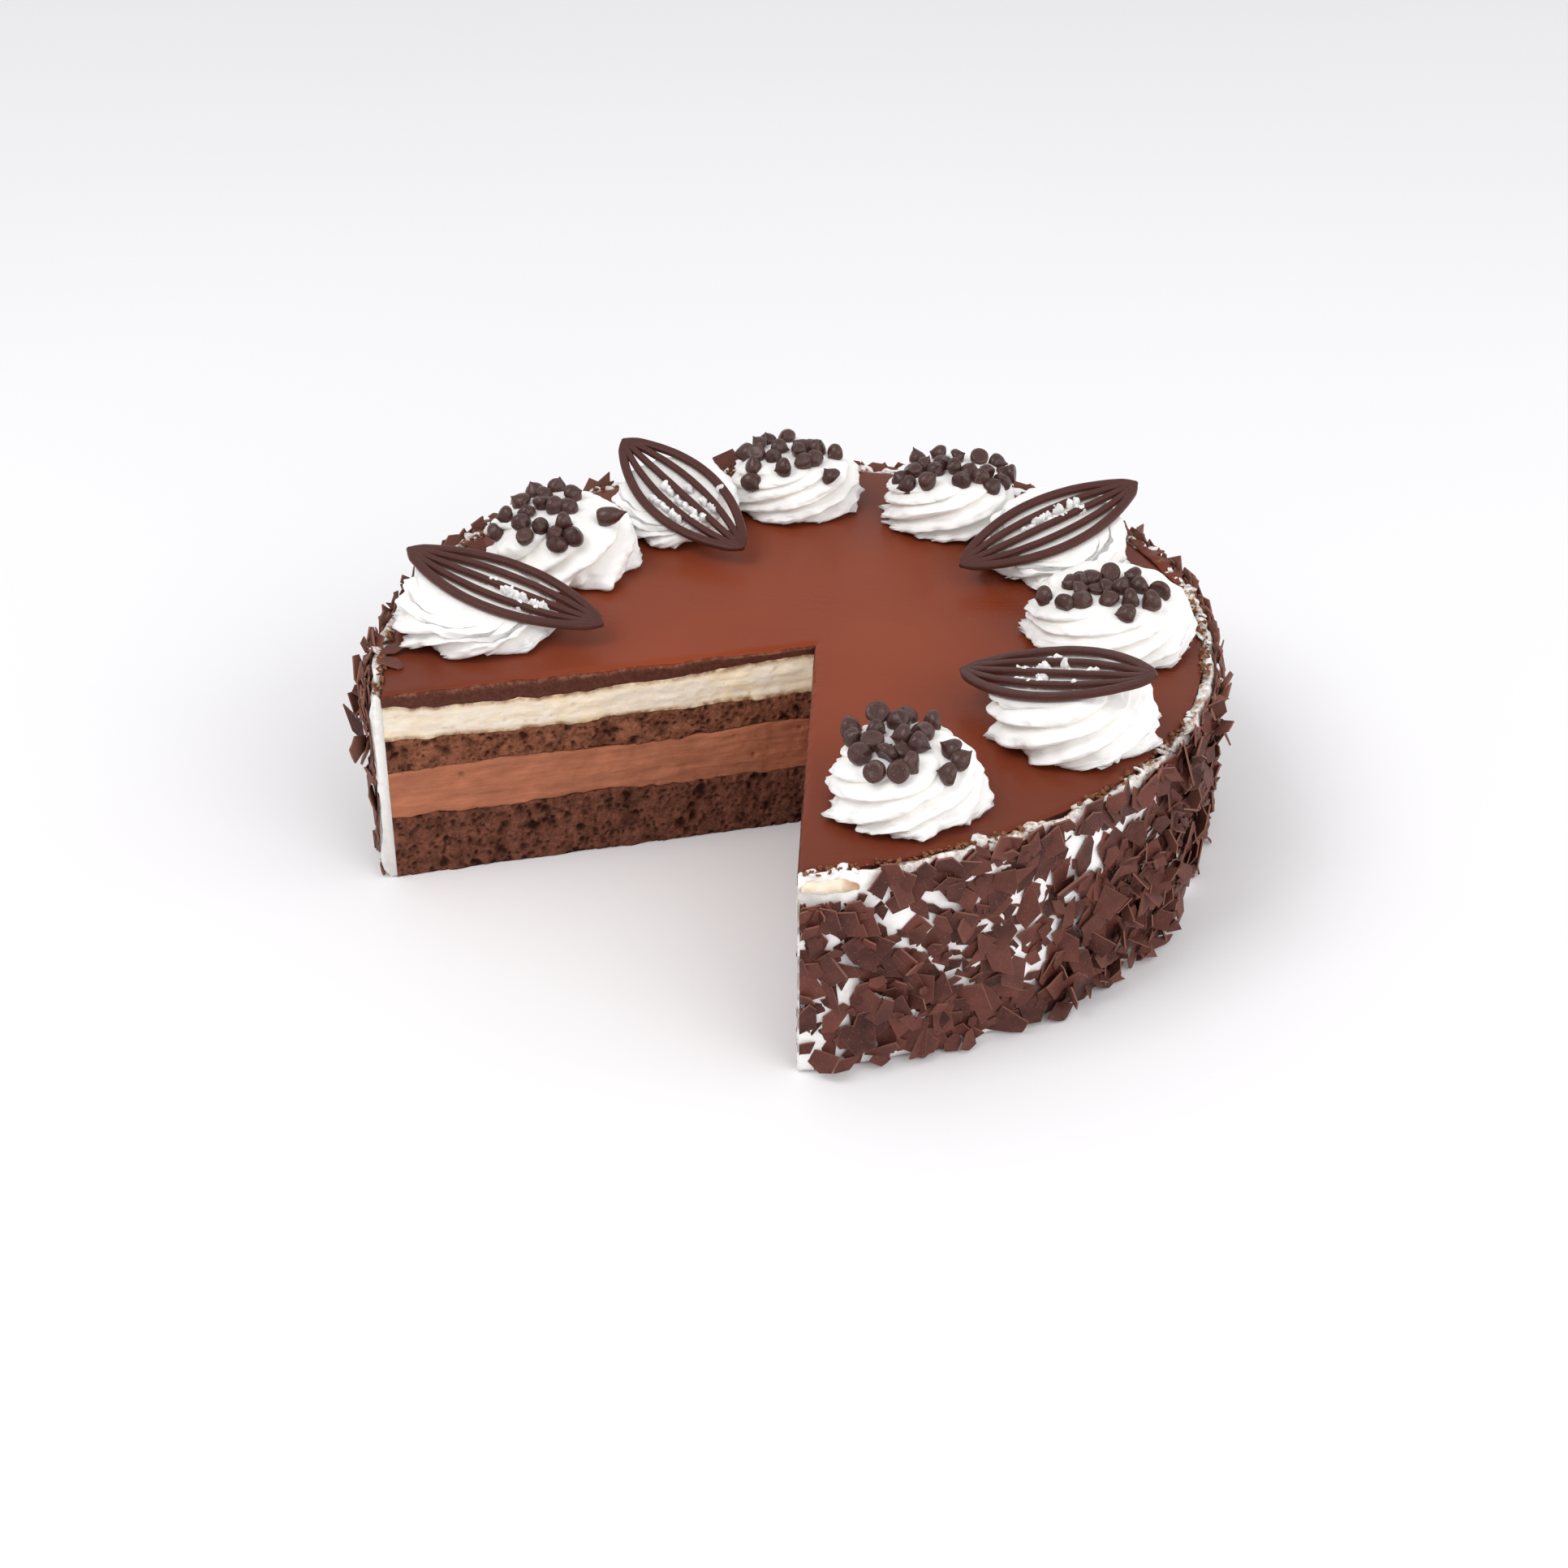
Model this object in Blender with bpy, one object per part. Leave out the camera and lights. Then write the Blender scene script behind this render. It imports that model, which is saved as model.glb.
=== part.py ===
"""Chocolate layer cake with one wedge taken out, in metres, +Z up, front towards -Y.

From the bottom: dark sponge, chocolate mousse, thin dark sponge, vanilla cream and a
chocolate glaze. Whipped cream with chocolate flakes coats the side. Nine piped rosettes
stand on the glaze: five carry chocolate drops, and four carry a pierced chocolate leaf.
"""

import math

import bmesh
import bpy
import numpy as np
from mathutils import Matrix, Vector

# Whole cake
CAKE_RADIUS = 0.120
AXIS = np.array([-0.0021, 0.0004])  # where the cake's axis stands, so that its box is centred
GAP = 0.0003  # left between touching pieces

# Outline of the rim: share of the radius for each wave, as (waves, cosine part, sine part)
RIM_WAVES = ((2, -0.016, 0.034), (3, 0.015, 0.007), (4, -0.014, -0.005))

# The knife's two cuts meet at this point, measured from the cake's axis
APEX = np.array([0.0075, -0.0016])
RIGHT_CUT = math.radians(-92.7)
LEFT_CUT = math.radians(194.3)
FAN_STEPS = 44

# Layers from the bottom up: name, height of its upper face, colour, roughness
BASE_HEIGHT = 0.0
LAYERS = (
    ("base_sponge", 0.0195, (0.075, 0.030, 0.014), 0.95),
    ("chocolate_mousse", 0.0345, (0.175, 0.075, 0.038), 0.75),
    ("upper_sponge", 0.0440, (0.075, 0.030, 0.014), 0.95),
    ("vanilla_cream", 0.0560, (0.800, 0.680, 0.430), 0.60),
    ("chocolate_glaze", 0.0600, (0.190, 0.062, 0.032), 0.30),
)
GLAZE_TOP = LAYERS[-1][1]
SMOOTH_ANGLE = math.radians(35)
LAYER_WAVE = 0.0007  # how far the hidden faces between the layers swell and dip
WAVE_LENGTH = 0.085

# Whipped cream on the side, and the flakes pressed into it
COAT_THICKNESS = 0.0030
COAT_FOOT = 0.0006
COAT_TOP = 0.0596
COAT_LEVELS = 3
FLAKE_ROWS = 5
FLAKE_COLUMNS = 29
FLAKE_SIZE = (0.0110, 0.0160)
FLAKE_THICKNESS = 0.0010
FLAKE_TILT = (math.radians(8), math.radians(38))
FLAKE_LIFT = 0.24  # how far out a flake's middle sits, as a share of its slanting size
FLAKE_SEED = 11

# Rosettes: direction from the axis in degrees, distance from the axis, radius, height,
# twist in degrees, and what lies on top
ROSETTES = (
    (-71.3, 0.0925, 0.0202, 0.0172, 140, "drops"),
    (-35.0, 0.0920, 0.0222, 0.0200, 140, "leaf"),
    (1.4, 0.0912, 0.0238, 0.0165, 165, "drops"),
    (32.5, 0.0961, 0.0214, 0.0200, 150, "leaf"),
    (58.8, 0.0978, 0.0206, 0.0160, 140, "drops"),
    (89.0, 0.0955, 0.0208, 0.0160, 155, "drops"),
    (114.5, 0.0850, 0.0190, 0.0190, 130, "leaf"),
    (144.5, 0.0840, 0.0228, 0.0190, 80, "drops"),
    (175.2, 0.0908, 0.0222, 0.0200, 140, "leaf"),
)
LOBES = 8
LOBE_PHASES = (0.0, 0.40, 0.82)  # where each pleat is cut into facets
LOBE_PEAK = 0.84  # where a pleat stands out most, before it drops into the next crease
LOBE_DEPTH = 0.16
# Side view of a rosette, foot to crown: share of its radius, share of its height
ROSETTE_PROFILE = ((0.96, 0.0), (1.02, 0.16), (1.0, 0.40), (0.88, 0.72), (0.68, 0.93), (0.36, 1.0))
ROSETTE_SEED = 5

# Chocolate drops
DROP_RADIUS = 0.0033
DROP_HEIGHT = 0.0050
DROP_SIDES = 5
DROP_CLEARANCE = 0.0012  # how far the middle of a drop lies over the cream
# For each rosette with drops: column and row of every drop in the photograph, and which way its
# point looks there, in tenths of its length to the right, up and towards the viewer
DROPS = {
    0: ((1081, 879, 0, -3, -9), (1081, 900, 6, -3, 4), (1117, 882, 2, 5, 6), (1108, 890, 1, -5, 8),
        (1110, 907, -9, 0, 3), (1148, 889, -9, -1, 2), (1136, 901, -3, 5, 6), (1132, 917, 8, -4, 3),
        (1075, 914, 1, -7, -6), (1047, 896, 9, -2, 3), (1052, 909, 3, 2, 8), (1060, 928, 1, 2, 9),
        (1095, 927, 5, 5, -3), (1115, 922, 1, 6, 3), (1122, 941, 8, -5, 2), (1107, 951, 1, 0, -10),
        (1079, 951, 5, -1, -9), (1171, 922, -6, 5, 2), (1183, 937, 9, 3, 3), (1167, 954, -9, 1, 2)),
    2: ((1284, 736, -8, -1, 3), (1311, 745, -4, -5, 5), (1331, 714, 0, 5, 8), (1315, 718, -6, 2, 3),
        (1346, 711, 2, 6, 6), (1368, 706, 0, -2, -10), (1393, 709, -7, 4, 2), (1381, 722, 1, 8, 3),
        (1367, 723, 6, 3, 4), (1404, 722, -8, -4, 2), (1333, 728, 7, 2, 3), (1333, 739, 0, 4, 8),
        (1365, 736, -4, 6, 4), (1392, 738, -9, -3, 1), (1430, 728, 4, 4, -6), (1418, 741, -8, -3, 3),
        (1388, 756, -9, 1, 3), (1352, 722, 1, 6, 2)),
    4: ((1131, 564, 0, 10, 2), (1156, 559, -8, 2, 3), (1181, 562, 8, 4, 1), (1206, 564, -2, -3, -8),
        (1228, 571, 8, -3, 4), (1244, 584, -9, 0, -2), (1241, 581, 3, 5, 4), (1125, 580, -4, 4, 7),
        (1142, 571, 6, 4, 3), (1153, 578, 1, 3, 8), (1175, 576, -9, -3, 3), (1196, 579, 3, 6, 5),
        (1214, 582, -6, 5, -4), (1185, 592, 0, 2, 9), (1143, 593, 7, 1, 6), (1109, 590, -5, 4, 5),
        (1117, 597, -8, 1, 4), (1236, 592, 5, 6, -3), (1223, 598, 5, 5, 6), (1207, 590, -3, -4, 6),
        (1163, 569, 2, 4, 6)),
    5: ((944, 541, -2, 6, 4), (968, 538, -5, 4, 6), (934, 548, -7, 4, 2), (918, 557, -8, 2, 3),
        (932, 559, 2, -3, -8), (961, 552, 6, -2, 6), (953, 562, 1, 3, 8), (928, 574, -3, 6, 6),
        (964, 577, -8, -2, 3), (926, 595, 1, -4, 8), (986, 548, -4, 6, 3), (983, 556, -6, -3, 5),
        (998, 551, -2, 3, 8), (1008, 552, 5, 2, 6), (990, 569, 6, -4, -5), (1004, 567, 5, -4, 6),
        (1028, 558, -7, -3, 5), (1023, 586, -6, 7, 2)),
    7: ((658, 604, -3, 6, 5), (674, 607, 5, 5, 3), (687, 600, 4, 4, 7), (707, 609, 7, 2, 4),
        (702, 623, 5, 6, 4), (641, 617, -5, 5, 4), (648, 629, -2, 8, 3), (668, 619, 1, -9, -3),
        (685, 624, 8, -2, 4), (622, 636, -8, -2, 4), (643, 645, 4, -5, 6), (666, 647, 1, 4, 8),
        (694, 643, 10, -3, 2), (609, 658, -7, -5, 3), (647, 662, 1, -5, -8), (681, 656, -5, 5, 5),
        (687, 668, 2, 6, 7), (707, 660, 5, 4, 6), (744, 637, 16, 3, 2)),
}

# The photographer's camera, worked out from the rim, the base line and the cuts
PHOTO_SIZE = 1932
LENS, SENSOR = 55.90, 36.0
ELEVATION = math.radians(31.36)
DISTANCE = 0.7457
AIM = np.array([-0.0016, 0.0192, 0.0])
FORWARD = np.array([0, math.cos(ELEVATION), -math.sin(ELEVATION)])
RIGHTWARD = np.array([1.0, 0, 0])
UPWARD = np.array([0, math.sin(ELEVATION), math.cos(ELEVATION)])
EYE = AIM - DISTANCE * FORWARD

# Pierced chocolate leaf
LEAF_LENGTH = 0.0640
LEAF_WIDTH = 0.0240
LEAF_THICKNESS = 0.0022
LEAF_RIBS = 5
RIB_WIDTH = 0.0021
LEAF_STEPS = 12
SLOT_STEPS = 6
# One for each rosette with a leaf: where its inner and outer tips point, from the axis, and
# how many degrees its front edge hangs down
LEAVES = (
    ((0.0470, -0.0320, 0.0680), (0.0937, -0.0715, 0.0872), 12.0),
    ((0.0510, 0.0350, 0.0665), (0.1060, 0.0650, 0.0797), 12.0),
    ((-0.0141, 0.0476, 0.0660), (-0.0525, 0.0970, 0.0800), 19.0),
    ((-0.0533, -0.0030, 0.0665), (-0.1109, 0.0225, 0.0780), 7.0),
)


def clear_scene():
    """Remove whatever the scene already holds."""
    for thing in list(bpy.data.objects):
        bpy.data.objects.remove(thing, do_unlink=True)


def make_material(name, colour, roughness):
    """A Principled material with one colour and roughness."""
    made = bpy.data.materials.new(name)
    made.use_nodes = True
    shader = made.node_tree.nodes["Principled BSDF"]
    shader.inputs["Base Color"].default_value = (*colour, 1.0)
    shader.inputs["Roughness"].default_value = roughness
    shader.inputs["Metallic"].default_value = 0.0
    return made


def make_object(name, vertices, faces, finish):
    """An object from points measured from the cake's axis, every face cut into triangles."""
    mesh = bpy.data.meshes.new(name)
    mesh.from_pydata(vertices, [], triangles_of(faces))
    return place_mesh(name, mesh, finish)


def place_mesh(name, mesh, finish):
    """Give a mesh its material and stand it on the cake's axis."""
    mesh.materials.clear()
    mesh.materials.append(finish)
    thing = bpy.data.objects.new(name, mesh)
    thing.location = (AXIS[0], AXIS[1], 0)
    bpy.context.scene.collection.objects.link(thing)
    return thing


def triangles_of(faces):
    """Cut each face into a fan of triangles from its first corner."""
    return [(face[0], face[i], face[i + 1]) for face in faces for i in range(1, len(face) - 1)]


def rim_radius(angle):
    """Radius of the uneven rim in one direction from the axis."""
    waves = sum(c * np.cos(n * angle) + s * np.sin(n * angle) for n, c, s in RIM_WAVES)
    return CAKE_RADIUS * (1 + waves)


def rim_distance(fan_angle):
    """Distance from the apex to the rim along one direction."""
    heading = np.array([math.cos(fan_angle), math.sin(fan_angle)])
    distance = CAKE_RADIUS
    for _ in range(12):
        point = APEX + distance * heading
        wanted = rim_radius(math.atan2(point[1], point[0]))
        distance += wanted - np.hypot(*point)
    return distance


def fan_point(fan_angle, beyond_rim=0.0, share=1.0):
    """Point on the line from the apex to the rim: a share of the way, then further out."""
    heading = np.array([math.cos(fan_angle), math.sin(fan_angle)])
    return APEX + (rim_distance(fan_angle) * share + beyond_rim) * heading


def fan_angles(steps):
    """Directions from the right cut, round the back, to the left cut."""
    return np.linspace(RIGHT_CUT, LEFT_CUT, steps + 1)


def face_height(level, place):
    """Height of the face on top of one layer: flat outside, gently waved between layers."""
    if level < 0:
        return BASE_HEIGHT
    height = LAYERS[level][1]
    if level == len(LAYERS) - 1:
        return height
    turn = 2 * math.pi / WAVE_LENGTH
    return height + LAYER_WAVE * math.sin(turn * place[0] + 1.7 * level) * math.cos(turn * place[1] + level)


def make_layer(level, finish):
    """One layer as a fan-shaped slab between two faces, with the wedge left open."""
    below = 0.0 if level == 0 else GAP / 2
    above = 0.0 if level == len(LAYERS) - 1 else GAP / 2
    angles = fan_angles(FAN_STEPS)
    shares = (0.5, 1.0)
    places = [APEX] + [fan_point(a, share=s) for s in shares for a in angles]
    count = len(places)
    vertices = [(*p, face_height(level - 1, p) + below) for p in places]
    vertices += [(*p, face_height(level, p) - above) for p in places]
    across = len(angles)
    faces = []
    for i in range(FAN_STEPS):
        near, far = 1 + i, 1 + across + i
        top = [(0, near, near + 1), (near, far, far + 1), (near, far + 1, near + 1)]
        faces += [tuple(v + count for v in face) for face in top]
        faces += [tuple(reversed(face)) for face in top]
        faces.append((far, far + 1, far + 1 + count, far + count))
    right = [(0, 1), (1, 1 + across)]
    left = [(1 + 2 * FAN_STEPS + 1, across), (across, 0)]
    faces += [(a, b, b + count, a + count) for a, b in right + left]
    return make_object(LAYERS[level][0], vertices, faces, finish)


def make_coat_wall(finish):
    """The cream on the side: a band round the layers, uneven outside, flush at both cuts."""
    angles = fan_angles(FAN_STEPS)
    heights = np.linspace(COAT_FOOT, COAT_TOP, COAT_LEVELS + 1)
    ring = [(GAP, heights[-1]), (GAP, heights[0])] + [(GAP + COAT_THICKNESS, z) for z in heights]
    vertices = []
    for i, angle in enumerate(angles):
        for j, (out, z) in enumerate(ring):
            swell = 0.0004 * math.sin(1.9 * i + 2.3 * j) if j > 1 else 0.0
            vertices.append((*fan_point(angle, out + swell), z))
    around = len(ring)
    faces = [tuple(range(around)), tuple(reversed(range(FAN_STEPS * around, (FAN_STEPS + 1) * around)))]
    for i in range(FAN_STEPS):
        for j in range(around):
            a, b = i * around + j, i * around + (j + 1) % around
            faces.append((b, a, a + around, b + around))
    return make_object("side_coat", vertices, faces, finish)


def flake_frames():
    """Size, corner list and placing matrix of every large flake, row by row up the side."""
    draw = np.random.default_rng(FLAKE_SEED)
    span = LEFT_CUT - RIGHT_CUT
    for row in range(FLAKE_ROWS):
        for column in range(FLAKE_COLUMNS):
            along = (column + 0.5 + 0.5 * (row % 2) + draw.uniform(-0.3, 0.3)) / (FLAKE_COLUMNS + 0.5)
            height = COAT_TOP * (row + 0.5 + draw.uniform(-0.28, 0.28)) / FLAKE_ROWS
            size = draw.uniform(*FLAKE_SIZE)
            corners = flake_corners(draw, size)
            tilt = draw.uniform(*FLAKE_TILT)
            lean, spin = draw.uniform(0, 2 * math.pi, 2)
            angle = RIGHT_CUT + span * along
            if (row + 3 * column) % 10 == 1:
                continue  # a bare place, where the cream shows
            yield size, corners, flake_matrix(angle, height, size, tilt, lean, spin)


def flake_corners(draw, size):
    """Corners of an angular shard: four or five, unevenly spaced round an oval."""
    count = int(draw.integers(4, 6))
    turns = (np.arange(count) + draw.uniform(-0.3, 0.3, count)) * 2 * math.pi / count
    reach = 0.5 * size * draw.uniform(0.72, 1.0, count)
    narrow = draw.uniform(0.6, 1.0)
    return [(r * math.cos(t), narrow * r * math.sin(t)) for r, t in zip(reach, turns)]


def flake_matrix(angle, height, size, tilt, lean, spin):
    """Lay a flake on the coat, lean it out about a line in the wall, and sink its low edge."""
    outward = Vector((math.cos(angle), math.sin(angle), 0))
    upward = Vector((0, 0, 1))
    wall = Matrix((outward.cross(upward) * -1, upward, outward)).transposed()
    axis = wall @ Vector((math.cos(lean), math.sin(lean), 0))
    turned = Matrix.Rotation(tilt, 3, axis) @ wall @ Matrix.Rotation(spin, 3, "Z")
    lift = GAP + COAT_THICKNESS + 0.0002 + FLAKE_LIFT * size * math.sin(tilt)
    centre = Vector((*fan_point(angle, lift), height))
    return Matrix.Translation(centre) @ turned.to_4x4()


def inside_coat(point):
    """Keep a flake's corner off the layers, off the floor and out of the wedge."""
    x, y, z = point
    offset = np.array([x, y]) - APEX
    angle = math.atan2(offset[1], offset[0])
    if angle < (RIGHT_CUT + LEFT_CUT) / 2 - math.pi:
        angle += 2 * math.pi
    distance = np.hypot(*offset)
    margin = 0.0006 / distance
    angle = min(max(angle, RIGHT_CUT + margin), LEFT_CUT - margin)
    distance = max(distance, rim_distance(angle) + GAP + 0.0007)
    x, y = APEX + distance * np.array([math.cos(angle), math.sin(angle)])
    return x, y, max(z, COAT_FOOT + 0.0001)


def clear_of_rosettes(points):
    """True when no corner rises over the glaze beside a rosette."""
    for x, y, z in points:
        if z < COAT_TOP - 0.0005:
            continue
        for direction, distance, radius, *_ in ROSETTES:
            angle = math.radians(direction)
            centre = distance * np.array([math.cos(angle), math.sin(angle)])
            if np.hypot(x - centre[0], y - centre[1]) < radius * 1.12 + 0.002:
                return False
    return True


def make_flakes(finish):
    """The shards pressed into the coat, each a thin plate with straight edges."""
    made = []
    for size, corners, matrix in flake_frames():
        half = FLAKE_THICKNESS / 2
        local = [(x, y, side) for side in (-half, half) for x, y in corners]
        points = [inside_coat(matrix @ Vector(p)) for p in local]
        if not clear_of_rosettes(points):
            continue
        count = len(corners)
        faces = [tuple(reversed(range(count))), tuple(range(count, 2 * count))]
        faces += [(i, (i + 1) % count, (i + 1) % count + count, i + count) for i in range(count)]
        made.append(make_object("flake", points, faces, finish))
    return made


def rosette_centre(index):
    """Where one rosette stands on the glaze."""
    direction, distance = ROSETTES[index][:2]
    angle = math.radians(direction)
    return np.array([distance * math.cos(angle), distance * math.sin(angle), GLAZE_TOP + GAP])


def pleat(phase):
    """Outward push across one pleat: a slow rise, then a sharp drop into the next crease."""
    rise = np.sin(np.clip(phase / LOBE_PEAK, 0, 1) * math.pi / 2)
    drop = np.clip((phase - LOBE_PEAK) / (1 - LOBE_PEAK), 0, 1)
    return rise * (1 - drop)


def leaf_plane(leaf):
    """Middle point of one leaf, and its right-handed axes: along it, towards its front edge, up."""
    inner, outer, roll = leaf
    inner, outer, roll = Vector(inner), Vector(outer), math.radians(roll)
    along = (outer - inner).normalized()
    level = along.cross(Vector((0, 0, 1))).normalized()
    if level.y > 0:
        level, along = -level, -along
    upright = along.cross(level)
    across = math.cos(roll) * level - math.sin(roll) * upright * math.copysign(1, upright.z)
    normal = along.cross(across)
    if normal.z < 0:
        along, normal = -along, -normal
    return (inner + outer) / 2, along, across, normal


def make_rosette(index, leaf, finish):
    """A piped rosette: twisted pleats round a domed profile, pressed flat under a leaf."""
    _, _, radius, height, twist, _ = ROSETTES[index]
    draw = np.random.default_rng(ROSETTE_SEED + index)
    start = draw.uniform(0, 2 * math.pi)
    uneven = draw.uniform(-0.04, 0.04, LOBES)
    centre = rosette_centre(index)
    vertices = []
    for share, rise in ROSETTE_PROFILE:
        depth = LOBE_DEPTH * (1 - 0.55 * rise)
        for lobe in range(LOBES):
            for phase in LOBE_PHASES:
                turn = 2 * math.pi * (lobe + phase) / LOBES + start + math.radians(twist) * rise
                out = radius * share * (1 - depth + depth * pleat(phase) + uneven[lobe] * (1 - rise))
                vertices.append((out * math.cos(turn), out * math.sin(turn), height * rise))
    around = LOBES * len(LOBE_PHASES)
    rows = len(ROSETTE_PROFILE)
    vertices += [(0, 0, height * 1.02), (0, 0, 0)]
    crown, foot = len(vertices) - 2, len(vertices) - 1
    faces = []
    for i in range(around):
        j = (i + 1) % around
        for row in range(rows - 1):
            low, high = row * around, (row + 1) * around
            faces.append((low + i, low + j, high + j, high + i))
        top = (rows - 1) * around
        faces += [(top + i, top + j, crown), (j, i, foot)]
    points = [Vector(centre) + Vector(v) for v in vertices]
    if leaf:
        middle, _, _, normal = leaf_plane(leaf)
        middle = middle - normal * (LEAF_THICKNESS / 2 + GAP)
        for p in points:
            p.z = min(p.z, middle.z - (normal.x * (p.x - middle.x) + normal.y * (p.y - middle.y)) / normal.z)
    return make_object(f"rosette_{index + 1}", points, faces, finish)


def crown_height(share, height):
    """Height of a rosette's smooth profile at a share of its radius, on the upper side."""
    upper = ROSETTE_PROFILE[2:]
    shares = [s for s, _ in reversed(upper)]
    rises = [r for _, r in reversed(upper)]
    return height * np.interp(share, shares, rises)


def drop_places(index):
    """Place of each chocolate drop on one rosette, and where its point looks.

    The line of sight through a drop is followed down to the crown, or to where it passes nearest.
    """
    _, _, radius, height, _, _ = ROSETTES[index]
    centre = rosette_centre(index)
    for column, row, right, up, near in DROPS[index]:
        across = (column - PHOTO_SIZE / 2) / PHOTO_SIZE * SENSOR / LENS
        rise = (PHOTO_SIZE / 2 - row) / PHOTO_SIZE * SENSOR / LENS
        ray = FORWARD + across * RIGHTWARD + rise * UPWARD
        nearest, place = math.inf, None
        for level in GLAZE_TOP + height + np.linspace(0.011, -0.012, 93):
            point = EYE + ray * ((level - EYE[2]) / ray[2])
            share = np.hypot(*(point[:2] - centre[:2])) / radius
            above = level - GLAZE_TOP - crown_height(share, height) - DROP_CLEARANCE
            miss = max(above, 0) if share < 0.90 else share
            if miss < nearest:
                nearest, place = miss, point
        tip = right * RIGHTWARD + up * UPWARD - near * FORWARD
        yield Vector(place), Vector(tip).normalized()


def make_drops(index, finish):
    """Chocolate drops on one rosette: flat foot, round shoulder and a point."""
    made = []
    turns = [2 * math.pi * i / DROP_SIDES for i in range(DROP_SIDES)]
    for place, axis in drop_places(index):
        rings = ((0.82, 0.0), (1.0, 0.34))
        local = [(DROP_RADIUS * s * math.cos(t), DROP_RADIUS * s * math.sin(t), DROP_HEIGHT * z)
                 for s, z in rings for t in turns]
        local.append((0, 0, DROP_HEIGHT))
        turn = Vector((0, 0, 1)).rotation_difference(axis).to_matrix()
        shift = Vector((0, 0, DROP_HEIGHT * 0.4))
        points = [place + turn @ (Vector(p) - shift) for p in local]
        n = DROP_SIDES
        faces = [tuple(reversed(range(n)))]
        for i in range(n):
            j = (i + 1) % n
            faces += [(i, j, n + j, n + i), (n + i, n + j, 2 * n)]
        made.append(make_object("drop", points, faces, finish))
    return made


def half_width(x):
    """Half the leaf's width at a place along it: a pointed oval made of two arcs."""
    share = min(1.0, abs(2 * x / LEAF_LENGTH))
    return 0.5 * LEAF_WIDTH * (1 - share ** 2) ** 0.9


def slot_outline(gap):
    """One slot between two ribs, closed where the ribs grow together near the tips."""
    spacing = 2 / (LEAF_RIBS - 1)
    low, high = -1 + gap * spacing, -1 + (gap + 1) * spacing
    inner = 0.5 * LEAF_WIDTH - RIB_WIDTH / 2
    reach = 0.5 * LEAF_LENGTH * math.sqrt(1 - (RIB_WIDTH / (spacing * inner)) ** (1 / 0.9)) * 0.97
    xs = [reach * math.cos(math.pi * i / SLOT_STEPS) for i in range(SLOT_STEPS + 1)]

    def edge(x, rib, side):
        scale = half_width(x) * inner / (0.5 * LEAF_WIDTH)
        return rib * scale + side * RIB_WIDTH / 2

    lower = [(x, edge(x, low, 1)) for x in xs]
    upper = [(x, edge(x, high, -1)) for x in reversed(xs)]
    middle = (low + high) / 2
    lower[0] = (xs[0], middle * half_width(xs[0]))
    lower[-1] = (xs[-1], middle * half_width(xs[-1]))
    return lower + upper[1:-1]


def make_leaf(index, leaf, finish):
    """A flat chocolate leaf with ribs between open slots, lying across its rosette."""
    xs = [0.5 * LEAF_LENGTH * math.cos(math.pi * i / LEAF_STEPS) for i in range(LEAF_STEPS + 1)]
    outer = [(x, -half_width(x)) for x in xs] + [(x, half_width(x)) for x in reversed(xs[1:-1])]
    curve = bpy.data.curves.new("leaf", "CURVE")
    curve.dimensions = "2D"
    curve.fill_mode = "BOTH"
    curve.extrude = LEAF_THICKNESS / 2
    for outline in [outer] + [slot_outline(gap) for gap in range(LEAF_RIBS - 1)]:
        spline = curve.splines.new("POLY")
        spline.points.add(len(outline) - 1)
        for point, (x, y) in zip(spline.points, outline):
            point.co = (x, y, 0, 1)
        spline.use_cyclic_u = True
    middle, along, across, normal = leaf_plane(leaf)
    place = Matrix((along, across, normal)).transposed().to_4x4()
    place.translation = middle
    guide = bpy.data.objects.new("leaf_guide", curve)
    bpy.context.scene.collection.objects.link(guide)
    mesh = bpy.data.meshes.new_from_object(guide)
    bpy.data.objects.remove(guide, do_unlink=True)
    mesh.transform(place)
    thing = place_mesh(f"leaf_{index + 1}", mesh, finish)
    weld = thing.modifiers.new("weld", "WELD")
    weld.merge_threshold = 0.00001
    return thing


def fuse(core, additions):
    """Join small pieces to what they lie on with one Boolean union, then drop the loose ones."""
    group = bpy.data.collections.new("additions")
    bpy.context.scene.collection.children.link(group)
    for thing in additions:
        bpy.context.scene.collection.objects.unlink(thing)
        group.objects.link(thing)
    union = core.modifiers.new("union", "BOOLEAN")
    union.operation = "UNION"
    union.solver = "EXACT"
    union.operand_type = "COLLECTION"
    union.collection = group
    bpy.context.view_layer.update()
    evaluated = core.evaluated_get(bpy.context.evaluated_depsgraph_get())
    core.data = bpy.data.meshes.new_from_object(evaluated)
    core.modifiers.clear()
    keep_largest_body(core.data)
    for thing in list(group.objects):
        bpy.data.objects.remove(thing, do_unlink=True)
    bpy.data.collections.remove(group)


def keep_largest_body(mesh):
    """Drop loose scraps and the walls of sealed hollows, which fills them."""
    work = bmesh.new()
    work.from_mesh(mesh)
    unseen = set(work.verts)
    bodies = []
    while unseen:
        reached = [unseen.pop()]
        body = []
        while reached:
            vertex = reached.pop()
            body.append(vertex)
            near = {edge.other_vert(vertex) for edge in vertex.link_edges} & unseen
            unseen -= near
            reached += near
        bodies.append(body)
    bodies.sort(key=len)
    for body in bodies[:-1]:
        bmesh.ops.delete(work, geom=body, context="VERTS")
    work.to_mesh(mesh)
    work.free()


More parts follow.
